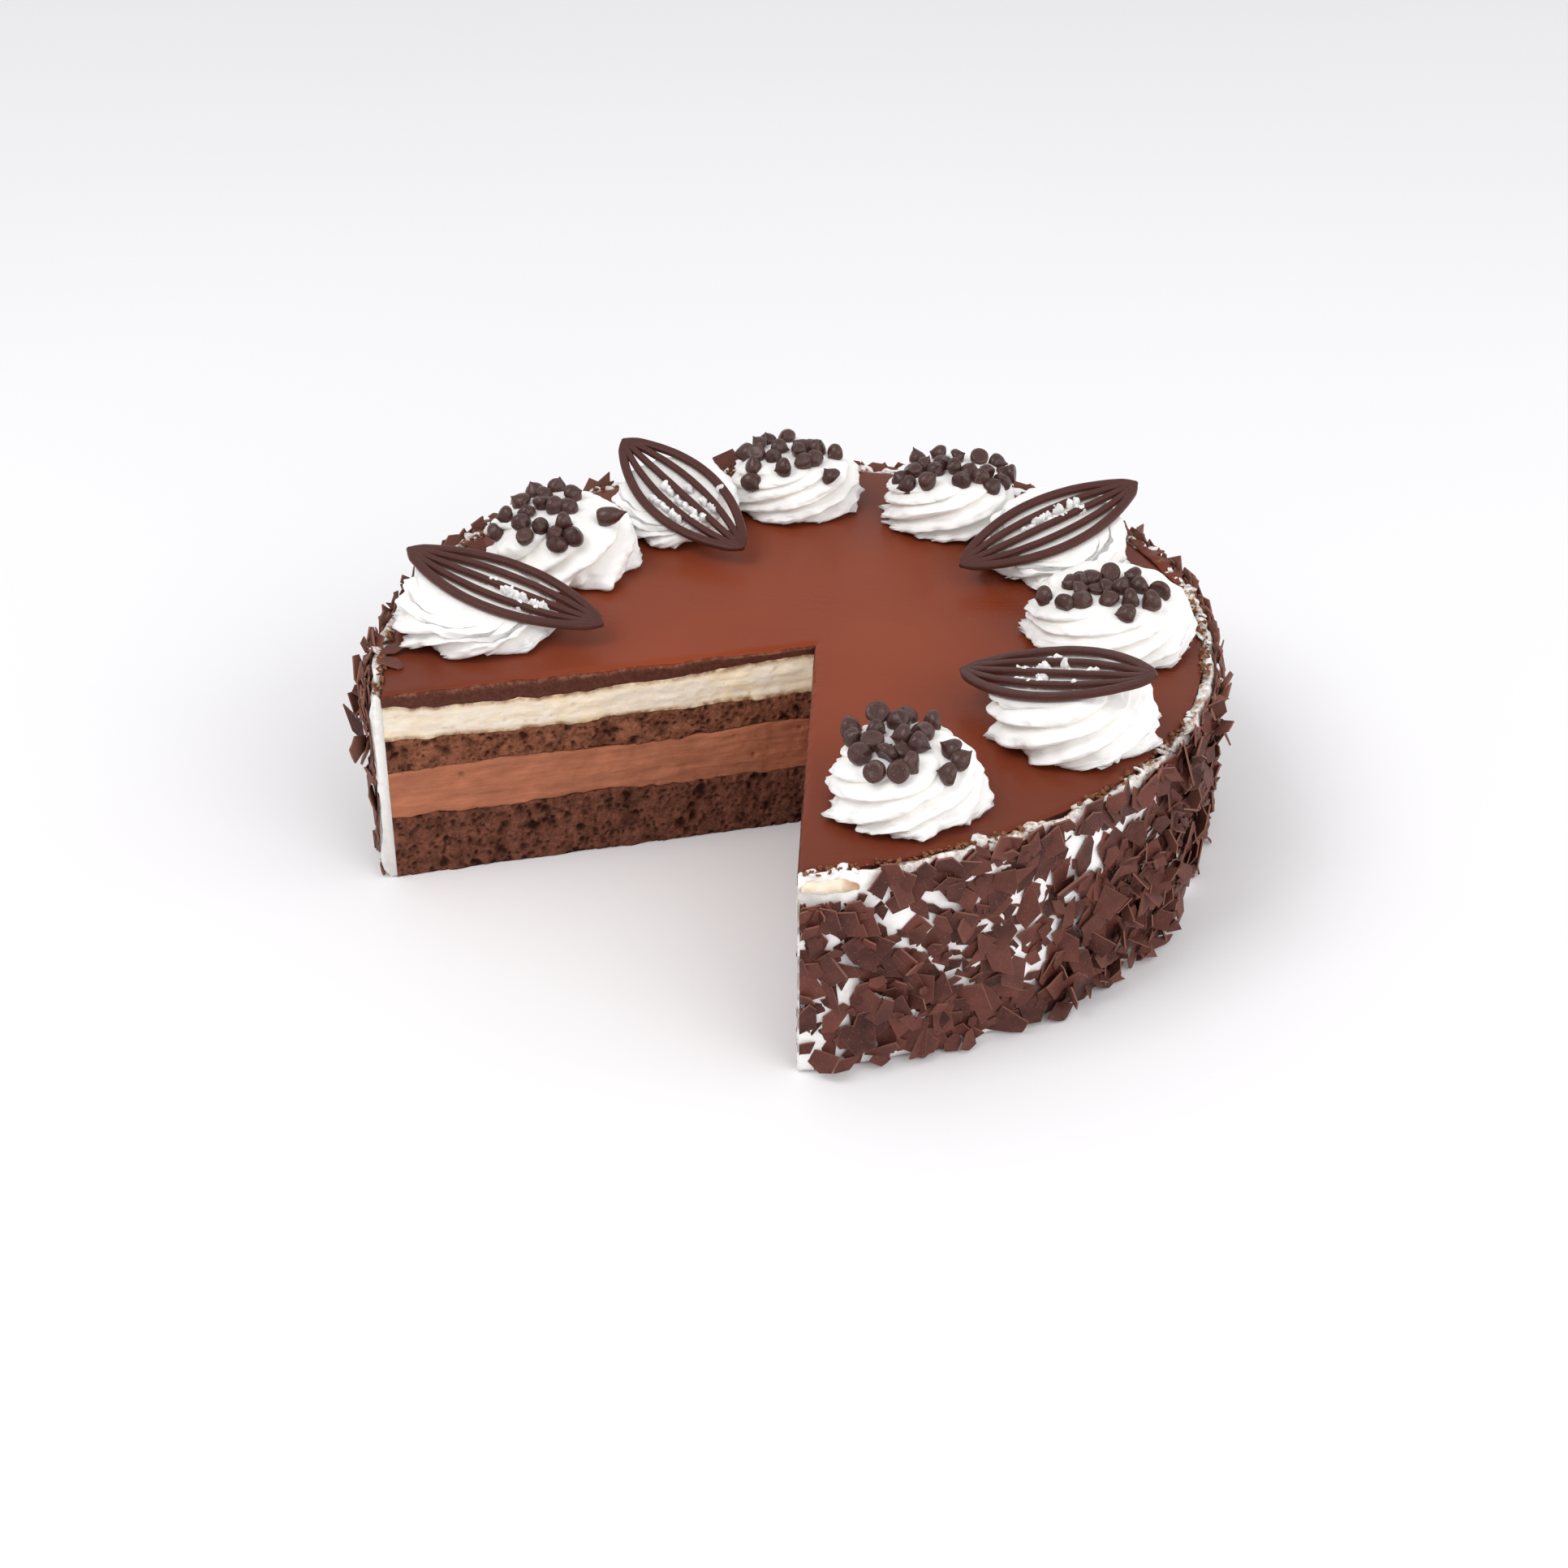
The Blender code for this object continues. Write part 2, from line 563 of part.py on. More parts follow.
def main():
    """Build every piece of the cake."""
    clear_scene()
    cream = make_material("whipped_cream", (0.86, 0.83, 0.80), 0.45)
    dark = make_material("dark_chocolate", (0.050, 0.024, 0.020), 0.40)
    for level, (name, _, colour, roughness) in enumerate(LAYERS):
        make_layer(level, make_material(name, colour, roughness))
    fuse(make_coat_wall(cream), make_flakes(dark))
    leaves = iter(LEAVES)
    leaf_count = 0
    for index, rosette in enumerate(ROSETTES):
        if rosette[-1] == "leaf":
            leaf = next(leaves)
            make_rosette(index, leaf, cream)
            make_leaf(leaf_count, leaf, dark)
            leaf_count += 1
        else:
            fuse(make_rosette(index, None, cream), make_drops(index, dark))
    for thing in bpy.context.scene.objects:
        thing.data.shade_smooth()
        thing.data.set_sharp_from_angle(angle=SMOOTH_ANGLE)


main()
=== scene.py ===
# %% [markdown]
# A round chocolate layer cake with one wedge taken out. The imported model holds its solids: five
# layers, a coat with flakes, nine piped rosettes and four pierced leaves. This lesson dresses
# them, so that they look baked, spread, piped and cast, and it keeps every piece where its
# solid is. The model is loaded first, because all places are read from it.

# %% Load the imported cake
import math

import bpy
import numpy as np
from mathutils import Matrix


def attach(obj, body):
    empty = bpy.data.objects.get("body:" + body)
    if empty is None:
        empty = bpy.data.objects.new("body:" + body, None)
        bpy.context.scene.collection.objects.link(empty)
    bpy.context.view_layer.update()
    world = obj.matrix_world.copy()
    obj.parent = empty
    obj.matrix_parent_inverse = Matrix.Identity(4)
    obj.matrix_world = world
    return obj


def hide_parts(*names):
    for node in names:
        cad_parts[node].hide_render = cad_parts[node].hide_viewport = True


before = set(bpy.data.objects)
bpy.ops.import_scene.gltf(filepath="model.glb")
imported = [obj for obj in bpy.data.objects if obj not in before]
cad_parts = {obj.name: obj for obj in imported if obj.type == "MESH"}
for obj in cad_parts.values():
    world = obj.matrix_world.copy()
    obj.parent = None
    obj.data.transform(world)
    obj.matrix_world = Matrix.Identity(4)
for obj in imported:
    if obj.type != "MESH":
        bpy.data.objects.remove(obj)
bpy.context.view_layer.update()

# %% [markdown]
# The rim of the cake isn't a perfect circle, and the two cuts meet a little off the middle. The
# outline is therefore a circle with three slow waves, and a point called the apex. These are the
# same values as in the solids, so a surface made from them fits without measuring.

# %% Measures of the cake
AXIS = np.array([-0.0021, 0.0004])
CAKE_RADIUS = 0.120
RIM_WAVES = ((2, -0.016, 0.034), (3, 0.015, 0.007), (4, -0.014, -0.005))
APEX = np.array([0.0075, -0.0016])
RIGHT_CUT = math.radians(-92.7)
LEFT_CUT = math.radians(194.3)
TOPS = (0.0195, 0.0345, 0.0440, 0.0560, 0.0600)
GLAZE_TOP = TOPS[-1]
GAP = 0.0003
COAT_THICKNESS = 0.0030
COAT_FOOT = 0.0006
COAT_TOP = 0.0596


def heading(angle):
    """Level unit vector at an angle: its cosine and its sine."""
    return np.stack((np.cos(angle), np.sin(angle)), -1)


def from_apex(angle, far):
    """Places on the plan: the apex, plus a distance along a direction."""
    return APEX + np.asarray(far)[..., None] * heading(angle)


def lifted(place, height):
    """Places on the plan, raised to a height."""
    height = np.broadcast_to(height, place.shape[:-1])
    return np.concatenate((place, height[..., None]), -1)


def unit(vector):
    """Vectors divided by their length."""
    return vector / np.maximum(np.linalg.norm(vector, axis=-1), 1e-9)[..., None]


def rim_radius(angle):
    """Radius of the rim: the cake's radius times one plus a cosine and a sine of each wave."""
    waves = sum(c * np.cos(n * angle) + s * np.sin(n * angle) for n, c, s in RIM_WAVES)
    return CAKE_RADIUS * (1 + waves)


def rim_distance(angle):
    """Distance from the apex to the rim: begin with the radius and add the miss until it settles."""
    far = np.full(np.shape(angle), CAKE_RADIUS)
    for _ in range(12):
        point = from_apex(angle, far)
        wanted = rim_radius(np.arctan2(point[..., 1], point[..., 0]))
        far = far + wanted - np.hypot(point[..., 0], point[..., 1])
    return far


far_right, far_left = rim_distance(np.array([RIGHT_CUT, LEFT_CUT]))
print(f"cuts: {far_right * 1000:.1f} mm and {far_left * 1000:.1f} mm long")

# %% [markdown]
# Small toppings are best placed where the photograph shows them. A pixel only gives a line of
# sight, so every such piece also needs a level or a surface to lie on. The camera's measures come
# from the rim, the base line and the cuts, and the same numbers set up the camera at the end.

# %% Lines of sight
PHOTO_SIZE = 1932
LENS, SENSOR = 55.90, 36.0
ELEVATION = math.radians(31.36)
DISTANCE = 0.7457
AIM = np.array([-0.0016, 0.0192, 0.0])
FORWARD = np.array([0, math.cos(ELEVATION), -math.sin(ELEVATION)])
RIGHTWARD = np.array([1.0, 0, 0])
UPWARD = np.array([0, math.sin(ELEVATION), math.cos(ELEVATION)])
EYE = AIM - DISTANCE * FORWARD


def sight(column, row):
    """Direction through a pixel: forward, plus its offsets from the middle over the lens length."""
    across = (np.asarray(column) - PHOTO_SIZE / 2) / PHOTO_SIZE * SENSOR / LENS
    rise = (PHOTO_SIZE / 2 - np.asarray(row)) / PHOTO_SIZE * SENSOR / LENS
    return FORWARD + across[..., None] * RIGHTWARD + rise[..., None] * UPWARD


def seen_at_level(column, row, level):
    """Where a line of sight crosses a level."""
    ray = sight(column, row)
    return EYE + ray * ((level - EYE[2]) / ray[..., 2])[..., None]


def seen_on_plane(column, row, middle, normal):
    """Where a line of sight crosses a plane."""
    ray = sight(column, row)
    return EYE + ray * (((middle - EYE) @ normal) / (ray @ normal))[..., None]


print("apex in the photo lies at", np.round(seen_at_level(1000, 800, GLAZE_TOP), 4))

# %% [markdown]
# Nothing on a cake is even, so most surfaces get hills and hollows. Hills come from lattice
# noise: random numbers on a cubic grid, blended smoothly in between, and summed at finer and
# finer sizes. Hollows, such as the pores of a sponge, come from random balls, one to a cube of
# space. Both depend on the place alone, so neighbouring surfaces agree.

# %% Hills and hollows
def lattice_noise(points, size, seed):
    """Random numbers from -1 to 1 on a lattice, blended by the smooth step 3t^2 - 2t^3."""
    table = np.random.default_rng(seed).uniform(-1, 1, (32, 32, 32))
    cell = np.asarray(points) / size + 7.3
    low = np.floor(cell).astype(int)
    part = cell - low
    part = part * part * (3 - 2 * part)
    total = 0
    for corner in np.ndindex(2, 2, 2):
        weight = np.prod(np.where(corner, part, 1 - part), -1)
        x, y, z = np.moveaxis((low + corner) % 32, -1, 0)
        total = total + weight * table[x, y, z]
    return total


def hills(points, size, octaves=3, seed=1):
    """Sum of lattice noises: each is half as large and half as wide as the one before."""
    return sum(lattice_noise(points, size / 2 ** k, seed + k) / 2 ** k for k in range(octaves))


def pores(points, spacing, radius, share, seed=1):
    """Depth in a random ball: one less the squared distance over the squared radius, or 0."""
    draw = np.random.default_rng(seed)
    middle = draw.uniform(0.1, 0.9, (16, 16, 16, 3))
    size = draw.uniform(0.45, 1.0, (16, 16, 16)) * (draw.uniform(size=(16, 16, 16)) < share)
    cell = np.asarray(points) / spacing
    low = np.floor(cell).astype(int)
    depth = np.zeros(cell.shape[:-1])
    for step in np.ndindex(3, 3, 3):
        near = low + step - 1
        x, y, z = np.moveaxis(near % 16, -1, 0)
        apart = ((cell - near - middle[x, y, z]) ** 2).sum(-1)
        reach = np.maximum(size[x, y, z] * radius / spacing, 1e-6)
        depth = np.maximum(depth, 1 - apart / reach ** 2)
    return np.clip(depth, 0, 1)


print("sample hills:", np.round(hills(np.array([[0.01, 0.02, 0.03]]), 0.01), 3))

# %% [markdown]
# Every new surface is a stack of closed rings of points, with a single point, a pole, at either
# end. Such a skin has no holes, whether it is a slab, a rope or a pea. One helper turns rings
# into faces and turns them outwards, and a second one makes a mesh from any number of skins.
# Numbers that a finish needs later, such as how deep a pore is, are stored with the points.

# %% Skins and pieces
def skin(grid, low, high, **marks):
    """Faces between the rings grid[n, row, column], closed by a low and a high pole."""
    grid = grid if grid.ndim == 4 else grid[None]
    low, high = np.reshape(low, (-1, 3)), np.reshape(high, (-1, 3))
    count, rows, columns = grid.shape[:3]
    ring = np.arange(count * rows * columns).reshape(count, rows, columns)
    beside = np.roll(ring, -1, axis=2)
    poles = ring.size + np.arange(2 * count).reshape(2, count, 1)
    quads = np.stack((ring[:, :-1], beside[:, :-1], beside[:, 1:], ring[:, 1:]), -1).reshape(-1, 4)
    foot = np.stack(np.broadcast_arrays(beside[:, 0], ring[:, 0], poles[0]), -1).reshape(-1, 3)
    head = np.stack(np.broadcast_arrays(ring[:, -1], beside[:, -1], poles[1]), -1).reshape(-1, 3)
    points = np.concatenate((grid.reshape(-1, 3), low, high))
    fans = np.concatenate((foot, head))
    a, b, c, d = (points[quads[:, i]] for i in range(4))
    volume = (a * np.cross(b, c)).sum() + (a * np.cross(c, d)).sum()
    a, b, c = (points[fans[:, i]] for i in range(3))
    if volume + (a * np.cross(b, c)).sum() < 0:
        quads, fans = quads[:, ::-1], fans[:, ::-1]
    values = {}
    for name, mark in marks.items():
        mark = np.broadcast_to(mark, (count, rows, columns))
        values[name] = np.concatenate((mark.ravel(), mark[:, 0, 0], mark[:, -1, 0]))
    return {"points": points, "quads": quads, "fans": fans, "marks": values}


def make_piece(name, skins, finish, smooth):
    """One object from several skins, standing on the cake's axis, with its marks as attributes."""
    starts = np.cumsum([0] + [len(s["points"]) for s in skins])
    points = np.concatenate([s["points"] for s in skins]) + (*AXIS, 0)
    quads = np.concatenate([s["quads"] + n for s, n in zip(skins, starts)])
    fans = np.concatenate([s["fans"] + n for s, n in zip(skins, starts)])
    mesh = bpy.data.meshes.new(name)
    mesh.vertices.add(len(points))
    mesh.vertices.foreach_set("co", points.astype(np.float32).ravel())
    mesh.loops.add(quads.size + fans.size)
    corners = np.concatenate((quads.ravel(), fans.ravel()))
    mesh.loops.foreach_set("vertex_index", corners.astype(np.int32))
    mesh.polygons.add(len(quads) + len(fans))
    first = np.concatenate((np.arange(len(quads)) * 4, quads.size + np.arange(len(fans)) * 3))
    mesh.polygons.foreach_set("loop_start", first.astype(np.int32))
    mesh.update(calc_edges=True)
    mesh.polygons.foreach_set("use_smooth", np.full(len(first), smooth))
    for key in skins[0]["marks"]:
        values = np.concatenate([s["marks"][key] for s in skins])
        mesh.attributes.new(key, "FLOAT", "POINT").data.foreach_set("value", values.astype(np.float32))
    mesh.materials.append(finish)
    piece = bpy.data.objects.new(name, mesh)
    bpy.context.scene.collection.objects.link(piece)
    print(f"{name}: {2 * len(quads) + len(fans)} triangles")
    return piece


def stand_in(name, skins, finish, slot, *nodes, smooth=True):
    """Make a piece that belongs to the cake's one body and shows in place of its solids."""
    piece = make_piece(name, skins, finish, smooth)
    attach(piece, "root")
    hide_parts(*nodes)


# %% [markdown]
# A finish is a small network of nodes in front of one Principled surface. Written node by node
# it is long and hard to read, so two classes help. Field wraps a socket, and sums and products
# of fields add their own Math nodes. Finish makes any other node: its type, its settings and
# the values or links of its sockets.

# %% Write a finish as formulas
class Field:
    """A number that changes over a surface, ready to be used in sums."""

    def __init__(self, finish, socket):
        self.finish = finish
        self.socket = socket

    def maths(self, operation, *values):
        """A Math node on some values."""
        return self.finish.node("Math", {"operation": operation}, dict(enumerate(values)))

    def __add__(self, other):
        return self.maths("ADD", self, other)

    def __radd__(self, other):
        return self.maths("ADD", other, self)

    def __sub__(self, other):
        return self.maths("SUBTRACT", self, other)

    def __rsub__(self, other):
        return self.maths("SUBTRACT", other, self)

    def __mul__(self, other):
        return self.maths("MULTIPLY", self, other)

    def __rmul__(self, other):
        return self.maths("MULTIPLY", other, self)

    def between(self, low, high):
        """0 below the low value, 1 above the high one, and a straight line in between."""
        return self.finish.node("MapRange", {"clamp": True}, {0: self, 1: low, 2: high})


class Finish:
    """A material under construction, with one Principled surface."""

    def __init__(self, name, **constants):
        self.material = bpy.data.materials.new(name)
        self.material.use_nodes = True
        self.tree = self.material.node_tree
        self.surface = self.tree.nodes["Principled BSDF"]
        for key, value in constants.items():
            self.surface.inputs[key.replace("_", " ")].default_value = value
        self.place = self.node("TexCoord", output="Object")

    def node(self, kind, settings=None, values=None, output=0):
        """Any node: its settings are set first, then its sockets are given values or links."""
        made = self.tree.nodes.new("ShaderNode" + kind)
        for key, value in (settings or {}).items():
            setattr(made, key, value)
        for key, value in (values or {}).items():
            self.feed(made.inputs[key], value)
        return Field(self, made.outputs[output])

    def feed(self, socket, value):
        """Give a socket a link or a constant."""
        if isinstance(value, Field):
            self.tree.links.new(value.socket, socket)
        else:
            opaque = np.shape(value) == (3,) and len(socket.default_value) == 4
            socket.default_value = (*value, 1.0) if opaque else value

    def noise(self, size, detail=3.0, roughness=0.5, place=None):
        """Cloudy noise whose blobs are about as wide as size, in metres."""
        values = {"Vector": place or self.place, "Scale": 1 / size, "Detail": detail,
                  "Roughness": roughness}
        return self.node("TexNoise", {}, values)

    def stretched(self, x, y, z, turn=0.0):
        """Object coordinates made longer or shorter along each axis, after a turn about Z."""
        values = {"Vector": self.place, "Rotation": (0, 0, turn), "Scale": (x, y, z)}
        return self.node("Mapping", {"vector_type": "POINT"}, values)

    def mark(self, name):
        """A number stored with the points of the mesh."""
        return self.node("Attribute", {"attribute_name": name}, {}, "Fac")

    def mix(self, share, first, second):
        """A colour between two colours."""
        return self.node("Mix", {"data_type": "RGBA"}, {0: share, 6: first, 7: second}, 2)

    def bump(self, height, distance, strength=1.0):
        """Small relief in the shading: height from 0 to 1, distance in metres."""
        made = self.node("Bump", {}, {"Height": height, "Distance": distance, "Strength": strength})
        self.feed(self.surface.inputs["Normal"], made)

    def paint(self, **fields):
        """Connect fields to the surface's own sockets, and hand over the material."""
        for key, value in fields.items():
            self.feed(self.surface.inputs[key.replace("_", " ")], value)
        print("made the finish", self.material.name)
        return self.material


print("finishes are written with", Finish.__name__, "and", Field.__name__)

# %% [markdown]
# The two sponges are baked, dark and crumbly. Their colour comes from cocoa crumb in clumps of a
# few millimetres, with painted shade in the pores, whose depth is stored with the mesh. A fine
# bump adds the crumb that is too small for real faces. A picture of crumb would be an alternative,
# but it would repeat and wouldn't follow the pores.

# %% Finish for the sponges
def sponge_finish(name, dark, light):
    """Crumb: colour by clump and speckle, with painted shade in the pores."""
    crumb = Finish(name, Roughness=0.95, Specular_IOR_Level=0.12)
    clumps = crumb.noise(0.0045, 4, 0.7).between(0.36, 0.64)
    speckle = crumb.noise(0.0008, 2, 0.7).between(0.38, 0.66)
    colour = crumb.mix(clumps * 0.6 + speckle * 0.4, dark, light)
    # Painted shade: the deeper a pore, the nearer its colour comes to a quarter of the dark crumb.
    shade = crumb.mark("hollow").between(0.0, 0.8) * 0.85
    pore_shade = tuple(0.25 * c for c in dark)
    crumb.bump(crumb.noise(0.0012, 4, 0.75), 0.0012, 0.9)
    return crumb.paint(Base_Color=crumb.mix(shade, colour, pore_shade))


base_crumb = sponge_finish("base_crumb", (0.092, 0.031, 0.019), (0.270, 0.100, 0.062))
upper_crumb = sponge_finish("upper_crumb", (0.125, 0.041, 0.021), (0.380, 0.145, 0.082))

# %% [markdown]
# The mousse is smooth where the knife passed, with a few air bubbles and faint smears along the
# stroke. Smears are noise on coordinates that are squeezed along one direction.

# %% Finish for the mousse
def mousse_finish():
    """Smooth brown mousse: slow clouds, smears along the cut, painted shade in the bubbles from the mesh.
    """
    mousse = Finish("mousse", Roughness=0.62, Specular_IOR_Level=0.25)
    clouds = mousse.noise(0.012, 3, 0.6).between(0.3, 0.7)
    smears = mousse.noise(0.0016, 3, 0.6, mousse.stretched(0.12, 0.12, 1.0)).between(0.3, 0.7)
    colour = mousse.mix(clouds * 0.5 + smears * 0.5, (0.268, 0.089, 0.043), (0.480, 0.170, 0.088))
    # Painted shade in the air bubbles, whose depth is stored with the mesh.
    shade = mousse.mark("hollow").between(0.0, 1.0) * 0.6
    mousse.bump(smears * 0.6 + mousse.noise(0.0011, 3, 0.7) * 0.5, 0.0005, 0.7)
    return mousse.paint(Base_Color=mousse.mix(shade, colour, (0.110, 0.036, 0.017)))


mousse_brown = mousse_finish()

# %% [markdown]
# The cream layer is ivory, paler in its smears and warmer near its edges, where it has taken up
# a little of the chocolate. The edge share is stored with the mesh, since only the mesh knows
# how far a point is from the layer's upper and lower side.

# %% Finish for the vanilla cream
def vanilla_finish():
    """Ivory cream: pale smears, yellow edges, a thin brown smear under the glaze and painted shade in the
    pores.
    """
    cream = Finish("vanilla_cream", Roughness=0.55, Specular_IOR_Level=0.3,
                   Subsurface_Weight=0.10, Subsurface_Scale=0.003)
    smears = cream.noise(0.0026, 4, 0.65, cream.stretched(0.40, 0.40, 1.0)).between(0.3, 0.7)
    colour = cream.mix(smears, (0.76, 0.63, 0.47), (0.85, 0.775, 0.68))
    warm = cream.noise(0.013, 3, 0.6).between(0.50, 0.68)
    colour = cream.mix(warm * 0.5, colour, (0.86, 0.66, 0.36))
    edge = cream.mark("edge")
    dirt = cream.noise(0.004, 4, 0.7).between(0.35, 0.6)
    colour = cream.mix(edge.between(0.60, 1.0) * 0.55, colour, (0.74, 0.52, 0.25))
    colour = cream.mix(edge.between(0.70, 0.90) * dirt * 0.9, colour, (0.26, 0.11, 0.05))
    colour = cream.mix(cream.mark("toast"), colour, (0.36, 0.12, 0.04))
    # Painted shade in the pores of the cut cream.
    shade = cream.mark("hollow").between(0.0, 1.0) * 0.35
    cream.bump(smears * 0.5 + cream.noise(0.0012, 3, 0.7) * 0.6, 0.0005, 0.7)
    return cream.paint(Base_Color=cream.mix(shade, colour, (0.52, 0.36, 0.20)))


ivory = vanilla_finish()

# %% [markdown]
# The glaze is poured and smoothed warm, so it is satin with very faint strokes. Its top mirrors
# little of the room, which keeps its brown deep, and a painted sheen leaves it lighter in the
# middle and darker towards the rim. Where the knife broke it, at the lip, a painted highlight makes it
# paler.

# %% Finish for the glaze
def glaze_finish():
    """Chocolate glaze: brown with a painted sheen, lighter in the middle and deeper towards the rim, faint
    strokes; nearly black where cut, with a painted highlight on the lip.
    """
    glaze = Finish("glaze", Specular_IOR_Level=0.15, IOR=1.45)
    clouds = glaze.noise(0.045, 2, 0.5).between(0.3, 0.7)
    strokes = glaze.noise(0.0016, 3, 0.65, glaze.stretched(0.10, 1.0, 1.0, 0.3)).between(0.3, 0.7)
    # Painted sheen: the top is lighter near the axis and darker towards the rim.
    out = glaze.node("VectorMath", {"operation": "LENGTH"}, {0: glaze.stretched(1, 1, 0)}, "Value")
    inner = glaze.mix(clouds * 0.85 + strokes * 0.15, (0.212, 0.036, 0.011), (0.252, 0.047, 0.016))
    colour = glaze.mix(out.between(0.035, 0.118), inner, (0.140, 0.029, 0.013))
    cut = glaze.mark("cut")
    ragged = glaze.noise(0.0011, 3, 0.7).between(0.35, 0.75)
    inside = glaze.mix(ragged, (0.062, 0.017, 0.010), (0.118, 0.038, 0.024))
    colour = glaze.mix(cut.between(0.2, 0.8), colour, inside)
    # Painted highlight along the lip, where the cut band meets the top.
    lip = glaze.mark("lip") * glaze.noise(0.0022, 3, 0.7).between(0.46, 0.60)
    colour = glaze.mix(lip * 0.7, colour, (0.30, 0.12, 0.07))
    dull = cut.between(0.2, 0.8) * 0.12 + strokes * 0.04 + clouds * 0.10 + 0.25
    glaze.bump(strokes * 0.25 + glaze.noise(0.0009, 3, 0.6) * (cut * 0.5 + 0.15), 0.0002, 0.22)
    return glaze.paint(Base_Color=colour, Roughness=dull)


glaze_brown = glaze_finish()

# %% [markdown]
# Each layer is a slab between two uneven faces. Its outline from above runs from the apex along
# the right cut, round the rim and back along the left cut. The wall over that outline carries
# the relief of the cut face, in real faces of about half a millimetre, because light from the
# side shows it. The hidden rim behind the coat needs few points.

# %% Outline of a layer from above
def outline(step, rim_steps):
    """Points, outward directions and share of cut face along the edge of a layer."""
    out_way = np.linspace(0, far_right, int(far_right / step) + 1)
    way_back = np.linspace(far_left, 0, int(far_left / step) + 1)[:-1]
    turn = np.linspace(RIGHT_CUT, LEFT_CUT, rim_steps + 1)[1:-1]
    right = from_apex(RIGHT_CUT, out_way)
    rim = from_apex(turn, rim_distance(turn))
    left = from_apex(LEFT_CUT, way_back)
    off_right = np.broadcast_to((math.sin(RIGHT_CUT), -math.cos(RIGHT_CUT)), right.shape)
    off_left = np.broadcast_to((-math.sin(LEFT_CUT), math.cos(LEFT_CUT)), left.shape)
    out = np.concatenate((off_right, heading(turn), off_left))
    face = np.concatenate((np.ones(len(right)), np.zeros(len(rim)), np.ones(len(left))))
    along = np.concatenate((out_way, np.full(len(rim), far_left), way_back))
    return np.concatenate((right, rim, left)), out, face, along


CORE = from_apex((RIGHT_CUT + LEFT_CUT) / 2, 0.040)
print("outline points at half a millimetre:", len(outline(0.0005, 120)[0]))

# %% [markdown]
# Baked and spread layers never meet in a flat plane. Neighbours share the same wavy face, which
# is worked out from the place alone, so no gap opens between them. The glaze is a little thicker
# on the left cut, because the cream under it dips there.

# %% Faces between the layers
THICK_GLAZE = 3


def seam(level, place):
    """Height of the face on top of a layer: its solid's slow wave, plus hills 14 and 3 mm wide."""
    if level < 0:
        return np.full(place.shape[:-1], 0.0)
    turn = 2 * math.pi / 0.085
    x, y = place[..., 0], place[..., 1]
    wave = 0.0007 * np.sin(turn * x + 1.7 * level) * np.cos(turn * y + level)
    flat = lifted(place, 0.01 * level)
    height = TOPS[level] + wave + 0.0006 * hills(flat, 0.014, 2, 31) + 0.0004 * hills(flat, 0.0028, 2, 41)
    if level == THICK_GLAZE:
        away = place - APEX
        along = away @ heading(LEFT_CUT)
        aside = np.abs(away @ heading(LEFT_CUT + math.pi / 2))
        height = height - 0.0026 * np.exp(-((along - 0.075) / 0.034) ** 2 - (aside / 0.01) ** 2)
    return height


def slab(level, step, rows, relief, shares=(0.96, 0.5), top=None, marks=None):
    """A layer's skin: inner rings, the wall from its lower to its upper face, inner rings."""
    plan, out, face, along = outline(step, 600 if top else 130)
    upper = top or (lambda place: seam(level, place))
    lower = seam(level - 1, plan)
    rise = np.linspace(0, 1, rows)[:, None]
    z = lower + (upper(plan) - lower) * rise
    wall = lifted(np.broadcast_to(plan, (*z.shape, 2)), z)
    fade = np.clip(np.minimum(along, far_left - along) / 0.0012, 0, 1)
    push, hollow = relief(wall, rise, along)
    wall[..., :2] += out * (push * np.where(face, fade, 1.0 if top else 0.0))[..., None]
    rings = [CORE + share * (plan - CORE) for share in shares]
    under = [lifted(ring, seam(level - 1, ring)) for ring in reversed(rings)]
    above = [lifted(ring, upper(ring)) for ring in rings]
    grid = np.stack((*under, *wall, *above))
    low_pole = lifted(CORE[None], seam(level - 1, CORE[None]))
    high_pole = lifted(CORE[None], upper(CORE[None]))
    blank = np.zeros((len(shares), len(plan)))
    depth = np.concatenate((blank, hollow * face, blank))
    extra = marks(rise, face, shares) if marks else {}
    return skin(grid, low_pole, high_pole, hollow=depth, **extra)


print("height of the cream's upper face at the apex:", seam(3, APEX[None])[0])

# %% [markdown]
# A knife tears a sponge more than it cuts it. The cut is rough between open pores, and the crumb
# draws back where it meets the next layer. Both sponges use the same relief.

# %% Cut through the sponges
def sponge_relief(wall, rise, along):
    """Rough crumb less round pores of two sizes; the layer's own edges draw back."""
    warped = wall + 0.0008 * np.stack([hills(wall, 0.0025, 2, 6 + k) for k in range(3)], -1)
    big = pores(warped, 0.0042, 0.0021, 0.45, 3)
    small = pores(warped, 0.0016, 0.0010, 0.65, 4)
    rough = 0.00055 * hills(wall, 0.0045, 4, 5) + 0.0002 * lattice_noise(wall, 0.0009, 9)
    edge = np.clip(1 - np.minimum(rise, 1 - rise) / 0.05, 0, 1)
    push = rough - 0.0012 * np.sqrt(big) - 0.0007 * np.sqrt(small) - 0.0003 * edge
    return push, np.clip(np.maximum(big, 0.8 * small) - 900 * rough, 0, 1)


base_skin = slab(0, 0.00042, 46, sponge_relief)
stand_in("crumbed_base", [base_skin], base_crumb, "sponge", "base_sponge")
middle_skin = slab(2, 0.00042, 24, sponge_relief)
stand_in("crumbed_middle", [middle_skin], upper_crumb, "sponge", "upper_sponge")

# %% [markdown]
# Mousse is soft enough to smear. The knife leaves long shallow streaks that climb a little along
# the cut, and it opens a few air bubbles.

